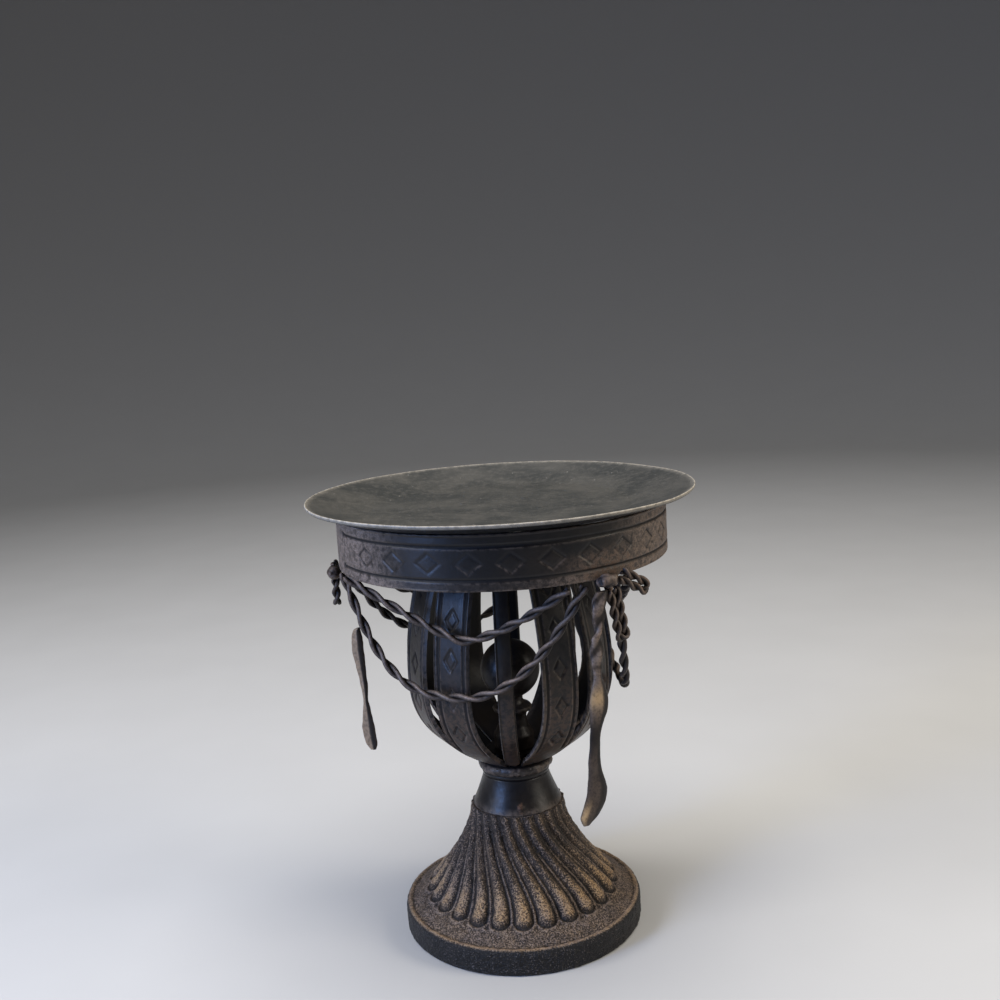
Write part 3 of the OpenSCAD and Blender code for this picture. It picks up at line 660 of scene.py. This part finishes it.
def strap_stamps(along, across, width, end, first, lean):
    """Border lines and lozenges of a wide strap: depth, painted highlights on the lower edges,
    painted shade in the lines and on the dark sides.
    """
    fade = ease((along - 14) / 4) * ease((end - 16 - along) / 4)
    lines = STAMP_DEPTH * window(np.abs(across) - (width / 2 - STAMP_INSET), STAMP_W / 2, 0.35)
    place = (along - first) / STRAP_DIAMOND_PITCH
    off = (place - np.clip(np.round(place), 0, 4)) * STRAP_DIAMOND_PITCH
    sunk, lit, shade = lozenge(across, off, STRAP_DIAMOND_W, STRAP_DIAMOND_H, 0.5, 0.1, lean)
    return (lines + sunk) * fade, lit * fade, np.maximum(lines / STAMP_DEPTH, shade) * fade


def strap(name, a, width, before, after, first, seed):
    """A bent bar. before and after are the degrees that it may fill towards smaller and greater
    angles; first is the place of the lowest lozenge, None on a plain narrow bar."""
    line, s = even_points(strap_line(), STRAP_STEP)
    t = headings(line)
    t = np.stack([np.convolve(np.pad(v, 3, "edge"), np.ones(7) / 7, "valid") for v in t.T], -1)
    n = unit(np.stack([t[:, 1], -t[:, 0]], -1))
    corner = np.radians([0, 30, 60, 90])
    by_sin, by_cos = EDGE_R * (1 - np.sin(corner)), EDGE_R * (1 - np.cos(corner))
    face = np.linspace(-1, 1, int(width / STRAP_COLUMN) + 1)
    back = np.linspace(-1, 1, 7)
    flat_face, flat_back, top = np.ones(len(face)), np.ones(len(back)), BAR_T / 2
    # one loop of the section: (share of the half width, distance in from the side, height)
    shares = np.concatenate([face[::-1], np.full(4, -1.0), back, np.full(4, 1.0)])
    inwards = np.concatenate([EDGE_R * flat_face, by_sin, EDGE_R * flat_back, by_cos])
    heights = np.concatenate([top * flat_face, top - by_cos, -top * flat_back, by_sin - top])
    is_face = np.arange(len(shares)) < len(face)

    def reach(degrees):
        """Half the width on one side, as far as the next strap leaves room for it."""
        turn = math.radians(degrees)
        return np.minimum(width / 2, line[:, 0] * math.tan(turn) - WEDGE_GAP / math.cos(turn))

    to_before, to_after = reach(before), reach(after)
    half = np.where(shares[None, :] >= 0, to_after[:, None], to_before[:, None])
    across = shares[None, :] * (half - inwards[None, :])
    full = ease((np.minimum(to_before, to_after) - width / 2 + 0.6) / 0.6)[:, None]
    depth = lit = shade = lip = 0 * across
    crown = 0.35 * ease((np.abs(shares) - 0.1) / 1.2) * is_face * (first is None)
    if first is not None:
        depth, lit, shade = (v * full * is_face for v in strap_stamps(
            s[:, None], across, width, s[-1], first, math.sin(math.radians(a))))
    radial, lateral = outwards(a), along_hoop(a)
    base = line[:, :1, None] * radial + line[:, 1:, None] * UP
    normal = n[:, :1, None] * radial + n[:, 1:, None] * UP
    flat = base + across[..., None] * lateral
    wave = 0.06 * value_noise(flat, 7, seed) + 0.025 * value_noise(flat, 2.2, seed + 1) - 0.06
    inside_box = ease(s / 6)[:, None] * ease((s[-1] - s) / 6)[:, None]
    height = (heights - crown)[None, :] - depth + wave * is_face * inside_box
    rings = flat + normal * height[..., None]
    # wear and dust, more of it low down, with painted highlights on the lozenges' lower edges and
    # painted shade in the stamps
    low = ease((112 - rings[..., 2]) / 34)
    edge = ease((np.abs(across) / (width / 2) - 0.9) / 0.08) * (0.4 + 0.5 * low)
    if first is not None:
        from_line = np.abs(across) - (width / 2 - STAMP_INSET)
        lip = window(from_line - 0.85, 0.2, 0.35) + window(from_line + 0.85, 0.2, 0.35)
        lip = lip * is_face * full * (depth < 0.08) * (0.3 + 0.6 * low)
    rub = np.clip(edge + lip + lit * (0.25 + 0.6 * low), 0, 1)
    solid = Solid().tube(rings, rub=rub, pit=0.95 * shade * (1 - 0.8 * lit),
                         dust=(0.02 + 0.05 * low) * is_face, rust=0.45 * low * is_face)
    solid.build(name + "_bar", BLACK_PAINT, "black_steel", name)


def cage():
    """Four narrow straps, with a pair of wide ones between each two."""
    wide = narrow = 0
    for k in range(12):
        a = CAGE_TURN + 30 * k
        if k % 3 == 0:
            narrow += 1
            strap(f"narrow_strap_{narrow}", a, NARROW_W, NARROW_SHARE, NARROW_SHARE, None, 40 + k)
        else:
            wide += 1
            second = k % 3 - 1
            shares = (EVEN_SHARE, WIDE_SHARE) if second else (WIDE_SHARE, EVEN_SHARE)
            strap(f"wide_strap_{wide}", a, WIDE_W, *shares, STRAP_DIAMOND_FIRST[second], 40 + k)


KNOB_R = 10.7
KNOB_Z = 95
KNOB_COLUMNS = 96


def knob():
    """The nut in the cage: a collared stem with a plain ball on top."""
    base = HUB_Z + BAR_T + HUB_WASHER_T
    stem = np.array([
        [6.8, 0], [7.3, 0.5], [7.3, 5.2], [6.6, 6.2], [5.4, 8.5], [4.9, 11.5], [5.3, 13.6],
        [6.9, 14.2], [7.2, 15], [6.7, 15.8], [4.6, 16.8], [3.9, 18]]) + [0, base]
    a = np.radians(np.linspace(21, 176, 46))
    ball = np.stack([KNOB_R * np.sin(a), KNOB_Z - KNOB_R * np.cos(a)], -1)
    line = even_points(np.concatenate([stem, ball]), 0.5)[0]
    rings = around(line[:, :1], circle(KNOB_COLUMNS), line[:, 1:])
    rings = rings + off_axis(rings) * (0.05 * value_noise(rings, 3.5, 31))[..., None]
    solid = Solid().tube(rings, rub=0.5 * band(rings[..., 2], base + 15, 0.7), dust=0.12)
    solid.build("hub_knob", BLACK_PAINT, "black_steel", "hub_nut")


# ---------------------------------------------------------------- pan and hoop
def pan():
    r = np.concatenate([np.linspace(0.02, PAN_FLOOR_R, 40),
                        np.linspace(PAN_FLOOR_R, PAN_R - 0.5, 60)[1:]])
    rim = np.array([PAN_R, pan_at(PAN_R)])
    lip = rim - [[0.24, 0.02], [0.05, 0.22], [0.03, 0.5], [0.12, 0.95], [0.5, 1.15]]
    top = np.stack([r, pan_at(r)], -1)
    bottom = np.stack([r[::-1], pan_at(r[::-1]) - PAN_T], -1)
    profile = np.concatenate([top, lip, bottom])
    rings = lathe(profile, 480)
    far = ease((from_axis(rings) - PAN_FLOOR_R) / (PAN_R - PAN_FLOOR_R))
    column = rings * [1, 1, 0]
    sag = 0.16 * value_noise(column, 26, 61) * far - 0.16 * far
    dents = 0.05 * value_noise(column, 8, 62) - 0.05
    rings[..., 2] += (sag + dents) * (rings[..., 2] > 0)
    index = np.arange(len(profile))
    on_lip = band(index, len(top) + 0.5, 1.1)[None, :]
    # marks the underside for painted shade
    under = (index >= len(top) + 5)[None, :] * 1.0
    scuff = 0.3 * ease((from_axis(rings) - PAN_R + 2.5) / 2.5) * (1 - under)
    solid = Solid().tube(rings, wrap=True, rub=np.clip(on_lip + scuff, 0, 1), under=under)
    solid.build("pan_dish", PAN_PAINT, "dish_steel", "pan")


def signed(a):
    """An angle in degrees, from -180 to 180."""
    return (a + 180) % 360 - 180


def hoop_stamps(a, z):
    """The hoop's lines with round ends and its lozenges: depth, painted highlights on the edges,
    painted shade in the lines and on the lozenges' dark sides.
    """
    from_lap = (a - LAP_FROM) % 360
    stamped = ease(from_lap / 0.6) * ease((360 - (LAP_FROM - LAP_TO) - from_lap) / 0.6)
    from_end = np.radians(signed(a - LAP_FROM - 1)) * HOOP_R
    depth = 0 * (a + z)
    for line in HOOP_LINES:
        depth = depth + STAMP_DEPTH * window(z - line, STAMP_W / 2, 0.35) * stamped
        line_end = np.hypot(from_end / 1.7, (z - line) / 1.2)
        depth = np.maximum(depth, 0.75 * ease(1.15 - line_end))
    pitch = (DIAMOND_LAST - DIAMOND_FIRST) / (HOOP_DIAMONDS - 1)
    place = ((a - DIAMOND_FIRST + 10) % 360 - 10) / pitch
    near = np.clip(np.round(place), 0, HOOP_DIAMONDS - 1)
    off, lean = np.radians((place - near) * pitch) * HOOP_R, np.sin(np.radians(a))
    sunk, lit, shade = lozenge(off, z - HOOP_H / 2, DIAMOND_W, DIAMOND_H, 0.34, 0.06, lean)
    # painted shade in the lines too
    shade = np.maximum(np.clip(depth / 0.42, 0, 1) ** 1.5, shade)
    # the lozenges are fainter in front
    return np.maximum(depth, sunk * (1 - 0.75 * band(signed(a), -8, 26))), lit, shade


HOOP_COLUMNS = 1000
HOOP_ROWS = 52
HOOP_BACK_ROWS = 8
HOOP_EDGE_R = 0.5


def hoop():
    a = circle(HOOP_COLUMNS)[:, None]
    # one loop of the section: up the face, over the upper edge, down the back, under the lower one
    corner = np.radians([0, 30, 60, 90])
    sin, cos = HOOP_EDGE_R * np.sin(corner), HOOP_EDGE_R * np.cos(corner)
    low, high = HOOP_EDGE_R, HOOP_H - HOOP_EDGE_R
    z = np.concatenate([np.linspace(low, high, HOOP_ROWS), high + sin, high + cos,
                        np.linspace(high, low, HOOP_BACK_ROWS), low - sin, low - cos])
    out = np.concatenate([
        np.zeros(HOOP_ROWS), cos - HOOP_EDGE_R, HOOP_EDGE_R - sin - HOOP_T,
        np.full(HOOP_BACK_ROWS, -HOOP_T), HOOP_EDGE_R - cos - HOOP_T, sin - HOOP_EDGE_R])
    is_face = (np.arange(len(z)) < HOOP_ROWS)[None, :]
    depth, lit, shade = (v * is_face for v in hoop_stamps(a, z[None, :]))
    # the strip reaches up to the pan's underside
    tall = z + SEAT_GAP * ease((z - HOOP_H + 1.5) / 1.5)
    rings = around(HOOP_R + out[None, :], a, HOOP_BOTTOM + tall[None, :])
    wave = 0.07 * value_noise(rings, 9, 71) - 0.07
    rings = rings - off_axis(rings) * (depth - wave * is_face)[..., None]
    # dusty at both sides, rusty round the right bow's brazing, worn along lines and edges, with
    # painted highlights on the lozenges' lower edges, more to the right, and painted shade in the
    # stamps
    turn, z = signed(a), z[None, :]
    left = ease((-30 - turn) / 26) + ease((turn - 150) / 30)
    brazed = band(turn, 35, 12) * ease((11.5 - z) / 7)
    right = ease((turn - 33) / 22) * ease((160 - turn) / 20) * 0.95
    low_edge = ease((3.2 - z) / 1.4) * (0.2 + 0.8 * ease((np.abs(turn + 12) - 10) / 26))
    dust = np.maximum(left, right) + 0.95 * brazed + 0.6 * low_edge * (turn < 90)
    dust = np.clip(dust, 0, 1) * (1 - 0.5 * np.clip(depth / 0.4, 0, 1))
    lips = sum(window(z - line + 0.95, 0.22, 0.35) for line in HOOP_LINES)
    edge = ease((0.9 - z) / 0.7) + ease((z - HOOP_H + 0.6) / 0.5)
    rub = np.clip(0.35 * lips + 0.5 * edge, 0, 1) * (depth < 0.1)
    rub = np.clip(rub + lit * (0.1 + 0.5 * ease((turn + 25) / 25)), 0, 1)
    solid = Solid().tube(rings, wrap=True, rub=rub, dust=dust, rust=brazed * 0.8,
                         pit=shade * (1 - 0.7 * lit))
    solid.build("hoop_band", BLACK_PAINT, "black_steel", "hoop")


# ---------------------------------------------------------------- garlands, bows and tails
PAIR_OUT = WIRE_R * (1 + PAIR_SHARE)
END_R = HOOP_R - HOOP_T / 2
WIRE_STEP = 0.7
WIRE_SIDES = 14
BEAD_SIDES = 28


def garland_line(a, b, sag, bend):
    """A garland bows out past the cage in plan, and hangs between two places under the hoop."""
    t = np.linspace(0, 1, 61)[:, None]
    p, q = around(END_R, a, 0), around(END_R, b, 0)
    m = 2 * around(GARLAND_R, (a + b) / 2, 0) - (p + q) / 2
    plan = (1 - t) ** 2 * p + 2 * t * (1 - t) * m + t ** 2 * q
    slope = math.atan(sag * bend[2] / (1 - bend[0]) / np.linalg.norm(p - q))
    end_z = HOOP_BOTTOM - SEAT_GAP - PAIR_OUT * math.cos(slope)
    before = np.maximum(0, (bend[0] - t) / bend[0]) ** bend[1]
    after = np.maximum(0, (t - bend[0]) / (1 - bend[0])) ** bend[2]
    drop = 1 - np.where(t < bend[0], before, after)
    return plan + (end_z - sag * drop) * UP


def wire_pair(solid, line, side, r, pitch, seed, rust=0.0):
    """Two wires twisted round each other along a line. side is square to the line."""
    length = run_length(line)[-1]
    turns = math.ceil(length / pitch * STEPS_PER_TWIST) / STEPS_PER_TWIST
    p, s = even_points(line, WIRE_STEP * r / WIRE_R)
    t = headings(p)
    b = unit(np.cross(t, side))
    n = np.cross(b, t)
    c = np.radians(circle(WIRE_SIDES))[None, :]
    for start in (0, math.pi):
        a = (start + 2 * math.pi * turns * s / s[-1])[:, None]
        centre = p + r * PAIR_SHARE * (np.cos(a) * n + np.sin(a) * b)
        end = np.minimum(s, s[-1] - s)[:, None]
        # the ends are rounded off
        size = r * 0.99 * np.sqrt(np.clip(1 - (1 - np.clip(end / r, 0, 1)) ** 2, 0.05, 1))
        rings = centre[:, None, :] + size[..., None] * (np.cos(c)[..., None] * n[:, None, :]
                                                       + np.sin(c)[..., None] * b[:, None, :])
        swell = 0.05 * value_noise(rings, 1.8, seed)
        rings = rings + (rings - centre[:, None, :]) * swell[..., None]
        # painted highlight on each wire's upper outer side, a little wear on the pair's outer side,
        # and painted shade where the two wires meet
        outer = (1 + np.cos(c - a)) / 2
        way = unit(rings - centre[:, None, :])
        above = np.clip(way @ unit(0.8 * side + 0.9 * UP), 0, 1)
        rub = np.clip(0.15 * outer ** 2 + 0.95 * above ** 2.2 * (0.35 + 0.65 * outer), 0, 1)
        solid.tube(rings, rub=rub, pit=(1 - outer) ** 2.5, rust=rust)


def garland(name, a, b, inset, sag, bend, seed):
    solid = Solid()
    line = garland_line(a + inset, b - inset, sag, bend)
    wire_pair(solid, line, outwards((a + b) / 2), WIRE_R, TWIST_PITCH, seed)
    solid.build(name + "_wires", WIRE, "wire_iron", name)
    return line


def hairpin(o, d, e, length, bow_out):
    """A narrow loop from the place o towards d, with its arms apart along e."""
    start, end = 0.84 * bow_out, 0.92 * bow_out
    far = o + d * (length - end)
    s = np.linspace(0, 1, 12)[:-1, None]
    a = np.radians(np.arange(0, 181, 10))[:, None]
    out = (1 - s) * (o - e * start) + s * (far - e * end)
    turn = far + end * (np.sin(a) * d - np.cos(a) * e)
    back = ((1 - s) * (o + e * start) + s * (far + e * end))[::-1]
    return np.concatenate([out, turn, back])


def bow(name, a, side, drop, hang_l, seed):
    """A brazed bead against the hoop's lower edge, with a loop to the side and one that hangs."""
    bow_out = BOW_WIRE_R * (1 + PAIR_SHARE)
    seat = BEAD_R + SEAT_GAP
    o = around(HOOP_R + math.sqrt(seat ** 2 - drop * drop), a, HOOP_BOTTOM - drop)
    t = along_hoop(a) * side
    solid = Solid()
    side_start = o + t * (BEAD_L / 2 + 0.75) + 1.2 * UP
    wire_pair(solid, hairpin(side_start, unit(t - 0.6 * UP), unit(UP + 0.6 * t), 12, bow_out),
              outwards(a), BOW_WIRE_R, BOW_PITCH, seed, 0.2)
    hang_start = o + t * 1.5 - seat * UP
    wire_pair(solid, hairpin(hang_start, unit(0.2 * t - UP), unit(t + 0.2 * UP), hang_l, bow_out),
              outwards(a), BOW_WIRE_R, BOW_PITCH, seed + 3, 0.1)
    x = np.sin(np.radians(np.linspace(-90, 90, BEAD_SIDES)))
    r = BEAD_R * np.sqrt(np.clip(1 - np.abs(x) ** 2.3, 0.003, 1))
    c = np.radians(circle(BEAD_SIDES))[None, :, None]
    rings = (o + (x * BEAD_L / 2)[:, None, None] * along_hoop(a)
             + r[:, None, None] * (np.cos(c) * outwards(a) + np.sin(c) * UP))
    lumps = 0.42 * rough_noise(rings, 1.7, seed + 7) - 0.2
    rings = rings + unit(rings - o) * lumps[..., None]
    # the left one is dark
    rub = np.clip(0.8 + 2.5 * lumps, 0, 1) * (1 if side > 0 else 0.4)
    # painted shade in the hollows between the bead's lumps
    solid.tube(rings, rub=rub, rust=0.25, pit=np.clip(-2.2 * (lumps + 0.25), 0, 1))
    solid.build(name.replace("_wires", "_loops"), WIRE, "wire_iron", name)


# rows of (share of the length, width, thickness, drift to the side)
LONG_TAIL = np.array([
    [0, 4.2, 2.2, 1.2], [0.03, 5.4, 2.6, 0.2], [0.06, 5.8, 2.8, -0.3], [0.094, 5.2, 2.8, -0.5],
    [0.123, 4.2, 2.6, -0.8], [0.149, 3.1, 2.3, -0.9], [0.17, 3.1, 2.2, -1],
    [0.19, 4.2, 2.2, -1.6], [0.212, 4, 2.2, -1.7], [0.246, 5.2, 2.5, -1.8], [0.28, 5.4, 2.6, -2],
    [0.315, 4.6, 2.4, -2], [0.341, 3.5, 2.2, -2.1], [0.363, 3.2, 2.2, -2.1], [0.399, 5, 2, -2],
    [0.443, 6.9, 1.9, -1.9], [0.482, 7.6, 1.9, -2], [0.521, 7, 1.9, -2.3], [0.558, 5.4, 1.8, -3],
    [0.613, 4.2, 1.7, -3.9], [0.678, 4.3, 1.7, -4.5], [0.73, 4.7, 1.6, -4.8],
    [0.775, 5.6, 1.6, -4.7], [0.822, 7.1, 1.7, -4.4], [0.863, 8.2, 1.8, -4.3],
    [0.897, 8.7, 1.8, -4.9], [0.925, 8.8, 1.8, -5.8], [0.952, 8.2, 1.7, -7],
    [0.972, 6.8, 1.6, -7.9], [1, 2.4, 1.2, -9]])
SHORT_TAIL = np.array([
    [0, 1.4, 1.4, -1.2], [0.024, 2.8, 1.8, -1.9], [0.102, 4.4, 2, -2.1], [0.179, 4.7, 2, -2.1],
    [0.255, 4.3, 2, -1.8], [0.334, 3.7, 1.9, -1.4], [0.41, 3.2, 1.8, -1],
    [0.489, 2.6, 1.7, -0.7], [0.567, 2.1, 1.5, -0.6], [0.617, 2.2, 1.4, -0.6],
    [0.671, 3.1, 1.4, -0.5], [0.75, 4.2, 1.5, -0.4], [0.829, 5.1, 1.6, -0.3], [0.908, 5, 1.5, 0],
    [0.96, 4.4, 1.4, 0.4], [1, 2, 1.1, 0.9]])


def smooth_rows(rows, n):
    """Rows between the given ones, on a smooth curve through them."""
    t = np.linspace(0, len(rows) - 1, n)
    i = np.clip(t.astype(int), 0, len(rows) - 2)
    f = (t - i)[:, None]
    at = [rows[np.clip(i + k, 0, len(rows) - 1)] for k in (-1, 0, 1, 2)]
    m0, m1 = (at[2] - at[0]) / 2, (at[3] - at[1]) / 2
    return ((2 * f ** 3 - 3 * f ** 2 + 1) * at[1] + (f ** 3 - 2 * f ** 2 + f) * m0
            + (3 * f ** 2 - 2 * f ** 3) * at[2] + (f ** 3 - f ** 2) * m1)


TAIL_ROWS = 150
TAIL_SIDES = 36
TAIL_SQUARENESS = 2.4
CREASE_AT = 0.35
TWIST_TURNS = 4.5
TWIST_END = 0.34


def tail(name, rows, top, a, length, seed, knotted):
    """A hammered tail whose broad face looks towards the angle a. knotted is 1 where its upper
    end is twisted and its face shaded as on the right tail, 0 on a plain one."""
    rows = smooth_rows(rows, TAIL_ROWS)
    share = np.clip(rows[:, :1], 0, 1)
    c = np.radians(circle(TAIL_SIDES))[None, :]
    cos, sin, k = np.cos(c), np.sin(c), TAIL_SQUARENESS
    square = 1 / (np.abs(cos) ** k + np.abs(sin) ** k) ** (1 / k)
    wide, thick = rows[:, 1:2] / 2, rows[:, 2:3] / 2
    x, y = wide * square * cos, -thick * square * sin
    # the front is folded along a blunt crease, right of the middle
    crease = 0.4 - np.abs(cos - CREASE_AT) * np.where(cos > CREASE_AT, 1.0, 0.55)
    y = y - (sin > 0.05) * 0.55 * thick * crease
    local = np.stack([rows[:, 3:] + x, y, -length * share + 0 * c], -1)
    hammer = 0.15 * value_noise(local, 2.6, seed) + 0.07 * value_noise(local, 1.1, seed + 1) - 0.08
    turns = 2 * (c - 2 * math.pi * share * TWIST_TURNS)
    knots = knotted * ease((TWIST_END - share) / 0.04)
    twist = 0.26 * knots * np.cos(turns)
    away = unit(np.stack([x, y, 0 * x], -1) + 1e-9)
    local = local + away * (hammer + twist - 0.12 * (twist != 0))[..., None]
    radial, lateral = outwards(a), along_hoop(a)
    rings = top + local[..., :1] * lateral - local[..., 1:2] * radial + local[..., 2:] * UP
    # worn and given a painted highlight at the left of the front, worn on the sides; golden painted
    # highlights in two places; painted shade in three bands, in the twist's grooves and on the
    # right of the front
    proud = np.clip(0.5 + 2.0 * hammer + 1.6 * twist, 0, 1)
    front, left = ease(sin * 1.5), ease((0.45 - cos) / 0.3)
    rub = (0.35 + 0.65 * proud) * front * (0.2 + 0.8 * left) + 0.35 * np.abs(cos) ** 6
    rub = np.clip(rub * (1 - 0.6 * knotted * ease((share - 0.5) / 0.1)), 0, 1)
    lit = 0.8 * band(share, 0.45, 0.042) * left
    lit = lit + band(share, 0.955, 0.04) * ease((-0.25 - cos) / 0.4)
    shade = band(share, 0.62, 0.075) + 0.7 * band(share, 0.315, 0.012)
    shade = shade + 0.8 * band(share, 0.11, 0.015) + 0.9 * knots * band(np.cos(turns), -1, 0.5)
    pit = np.clip(knotted * shade + 0.8 * front * (1 - left) * (cos < 0.93), 0, 1)
    gold = (knotted * lit + 0.3 * (1 - knotted) * left) * front
    solid = Solid().tube(rings, rub=rub, gold=gold, pit=pit * (1 - lit * knotted))
    solid.build(name + "_hammered", WIRE, "wire_iron", name)


def garlands():
    """Two garlands in each bay, a bow between each two bays, and the three tails."""
    at_front, at_right, at_left = (
        (BOW_LEFT, BOW_RIGHT), (BOW_RIGHT, BOW_BACK), (BOW_BACK, BOW_LEFT + 360))
    upper = (UPPER_INSET, UPPER_SAG, UPPER_BEND)
    garland("garland_front_upper", *at_front, *upper, 81)
    front = garland("garland_front_lower", *at_front, LOWER_INSET, FRONT_SAG, LOWER_BEND, 83)
    garland("garland_right_upper", *at_right, *upper, 85)
    garland("garland_right_lower", *at_right, LOWER_INSET, RIGHT_SAG, LOWER_BEND, 87)
    garland("garland_left_upper", *at_left, *upper, 89)
    garland("garland_left_lower", *at_left, LOWER_INSET, LEFT_SAG, LOWER_BEND, 91)
    bow("bow_left_wires", BOW_LEFT, -1, 2.2, 9, 101)
    bow("bow_right_wires", BOW_RIGHT, 1, 0, 17, 111)
    bow("bow_back_wires", BOW_BACK, 1, 0, 17, 121)
    for name, a in (("tail_right", BOW_RIGHT), ("tail_back", BOW_BACK)):
        top = around(HOOP_R + BEAD_R + SEAT_GAP, a, HOOP_BOTTOM - BEAD_R - SEAT_GAP - 0.1)
        tail(name, LONG_TAIL, top - 3.8 * along_hoop(a), a, TAIL_L, 131 if a < 90 else 141, 1.0)
    # the left tail hangs from the front garland, a little way in
    place = 0.075 * (len(front) - 1)
    k = int(place)
    hook = front[k] + (place % 1) * (front[k + 1] - front[k])
    hook = hook - [0, 0, 1.9 * PAIR_OUT + SEAT_GAP]
    tail("tail_left", SHORT_TAIL, hook, -20, SHORT_TAIL_L, 151, 0.0)


# ---------------------------------------------------------------- fixings, stage, light, camera
def dress_fixings():
    """The plain pieces that stay as they are get their finishes."""
    finishes = {"tie_bolt": ZINC, "foot_washer": ZINC, "hub_washer": BLACK_PAINT,
                "cage_cap": BLACK_PAINT, "cage_rivets": PAN_PAINT}
    for name, finish in finishes.items():
        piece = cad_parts[name]
        if not piece.material_slots:
            piece.data.materials.append(finish)
        for slot in piece.material_slots:
            slot.material = finish


def stage():
    """A pale floor that darkens away from the stand and curves up into a grey wall all round."""
    s = Shader("pale_floor")
    cloud = s.noise(60.0, 2.0)
    away = s.node("ShaderNodeVectorMath", {0: s.place}, operation="LENGTH").outputs["Value"]
    near = s.mix(cloud, rgb(0.50, 0.495, 0.485), rgb(0.54, 0.535, 0.525))
    # a painted pool of light round the stand, fading to grey further off
    colour = s.mix(s.span(away, 0.3, 2.3), near, rgb(0.21, 0.208, 0.206))
    floor_finish = s.finish(colour, 0.8, s.bump(s.noise(1.2, 2.0), 0.02), Specular_IOR_Level=0.1)
    floor_r, bend_r, wall_h, columns = 1300, 700, 900, 120
    a = np.radians(np.linspace(0, 90, 24))
    line = np.concatenate([
        np.stack([np.linspace(1, floor_r, 12), np.zeros(12)], -1),
        np.stack([floor_r + bend_r * np.sin(a[1:]), bend_r * (1 - np.cos(a[1:]))], -1),
        [[floor_r + bend_r, bend_r + wall_h]]])
    points = lathe(line, columns).reshape(-1, 3) * MM
    k = len(line)
    pairs = [(i * k, (i + 1) % columns * k) for i in range(columns)]
    faces = [(i + j, i2 + j, i2 + j + 1, i + j + 1) for i, i2 in pairs for j in range(k - 1)]
    middle = [(columns * k, i2, i) for i, i2 in pairs]
    mesh = bpy.data.meshes.new("floor")
    mesh.from_pydata(points.tolist() + [(0, 0, 0)], [], faces + middle)
    mesh.shade_smooth()
    mesh.materials.append(floor_finish)
    floor = bpy.data.objects.new("floor", mesh)
    bpy.context.scene.collection.objects.link(floor)


def softbox(name, place, aim, wide, tall, power, colour, diffuse=1.0):
    light = bpy.data.lights.new(name, "AREA")
    light.shape = "RECTANGLE"
    light.size, light.size_y = wide, tall
    light.energy = power
    light.color = colour
    light.diffuse_factor = diffuse
    lamp = bpy.data.objects.new(name, light)
    lamp.visible_camera = False
    lamp.location = place
    lamp.rotation_mode = "QUATERNION"
    lamp.rotation_quaternion = Vector(np.subtract(aim, place)).to_track_quat("-Z", "Y")
    bpy.context.scene.collection.objects.link(lamp)


def lights():
    """A low bluish window and a soft light at the left, a warm one at the right and one above."""
    world = bpy.data.worlds.new("studio")
    world.use_nodes = True
    sky = world.node_tree.nodes["Background"]
    sky.inputs["Color"].default_value = rgb(0.92, 0.92, 0.94)
    sky.inputs["Strength"].default_value = 0.22
    bpy.context.scene.world = world
    middle = (0, 0, 0.10)
    softbox("window_left", (-0.62, -0.45, 0.29), middle, 0.14, 0.38, 4.4, (0.27, 0.47, 1.0), 0.09)
    softbox("fill_left", (-0.80, -0.25, 0.60), middle, 0.4, 0.4, 5.0, (1.0, 0.98, 0.95))
    softbox("fill_right", (0.75, -0.25, 0.50), middle, 0.35, 0.5, 4.5, (1.0, 0.92, 0.80))
    softbox("top", (0.0, -0.05, 1.1), middle, 0.7, 0.7, 9.0, (1.0, 0.99, 0.97))


CAMERA_PLACE = (0.0, -0.404, 0.224)
CAMERA_PITCH = 9.46
CAMERA_ROLL = -3.39
CAMERA_F = 1160
FRAME_SIZE = 1000


def camera():
    lens = bpy.data.cameras.new("camera")
    lens.sensor_fit = "HORIZONTAL"
    lens.sensor_width = 36
    lens.lens = 36 * CAMERA_F / FRAME_SIZE
    lens.clip_start, lens.clip_end = 0.01, 50
    eye = bpy.data.objects.new("camera", lens)
    turn = Matrix.Rotation(math.radians(90 - CAMERA_PITCH), 4, "X") @ Matrix.Rotation(
        math.radians(CAMERA_ROLL), 4, "Z")
    eye.matrix_world = Matrix.Translation(CAMERA_PLACE) @ turn
    bpy.context.scene.collection.objects.link(eye)
    bpy.context.scene.camera = eye
    bpy.context.scene.view_settings.view_transform = "Standard"


CAST_IRON = cast_iron_finish()
BLACK_PAINT = black_paint_finish()
PAN_PAINT = pan_paint_finish()
WIRE = wire_finish()
ZINC = zinc_finish()

foot()
neck()
collar()
cage()
knob()
pan()
hoop()
garlands()
dress_fixings()
stage()
lights()
camera()
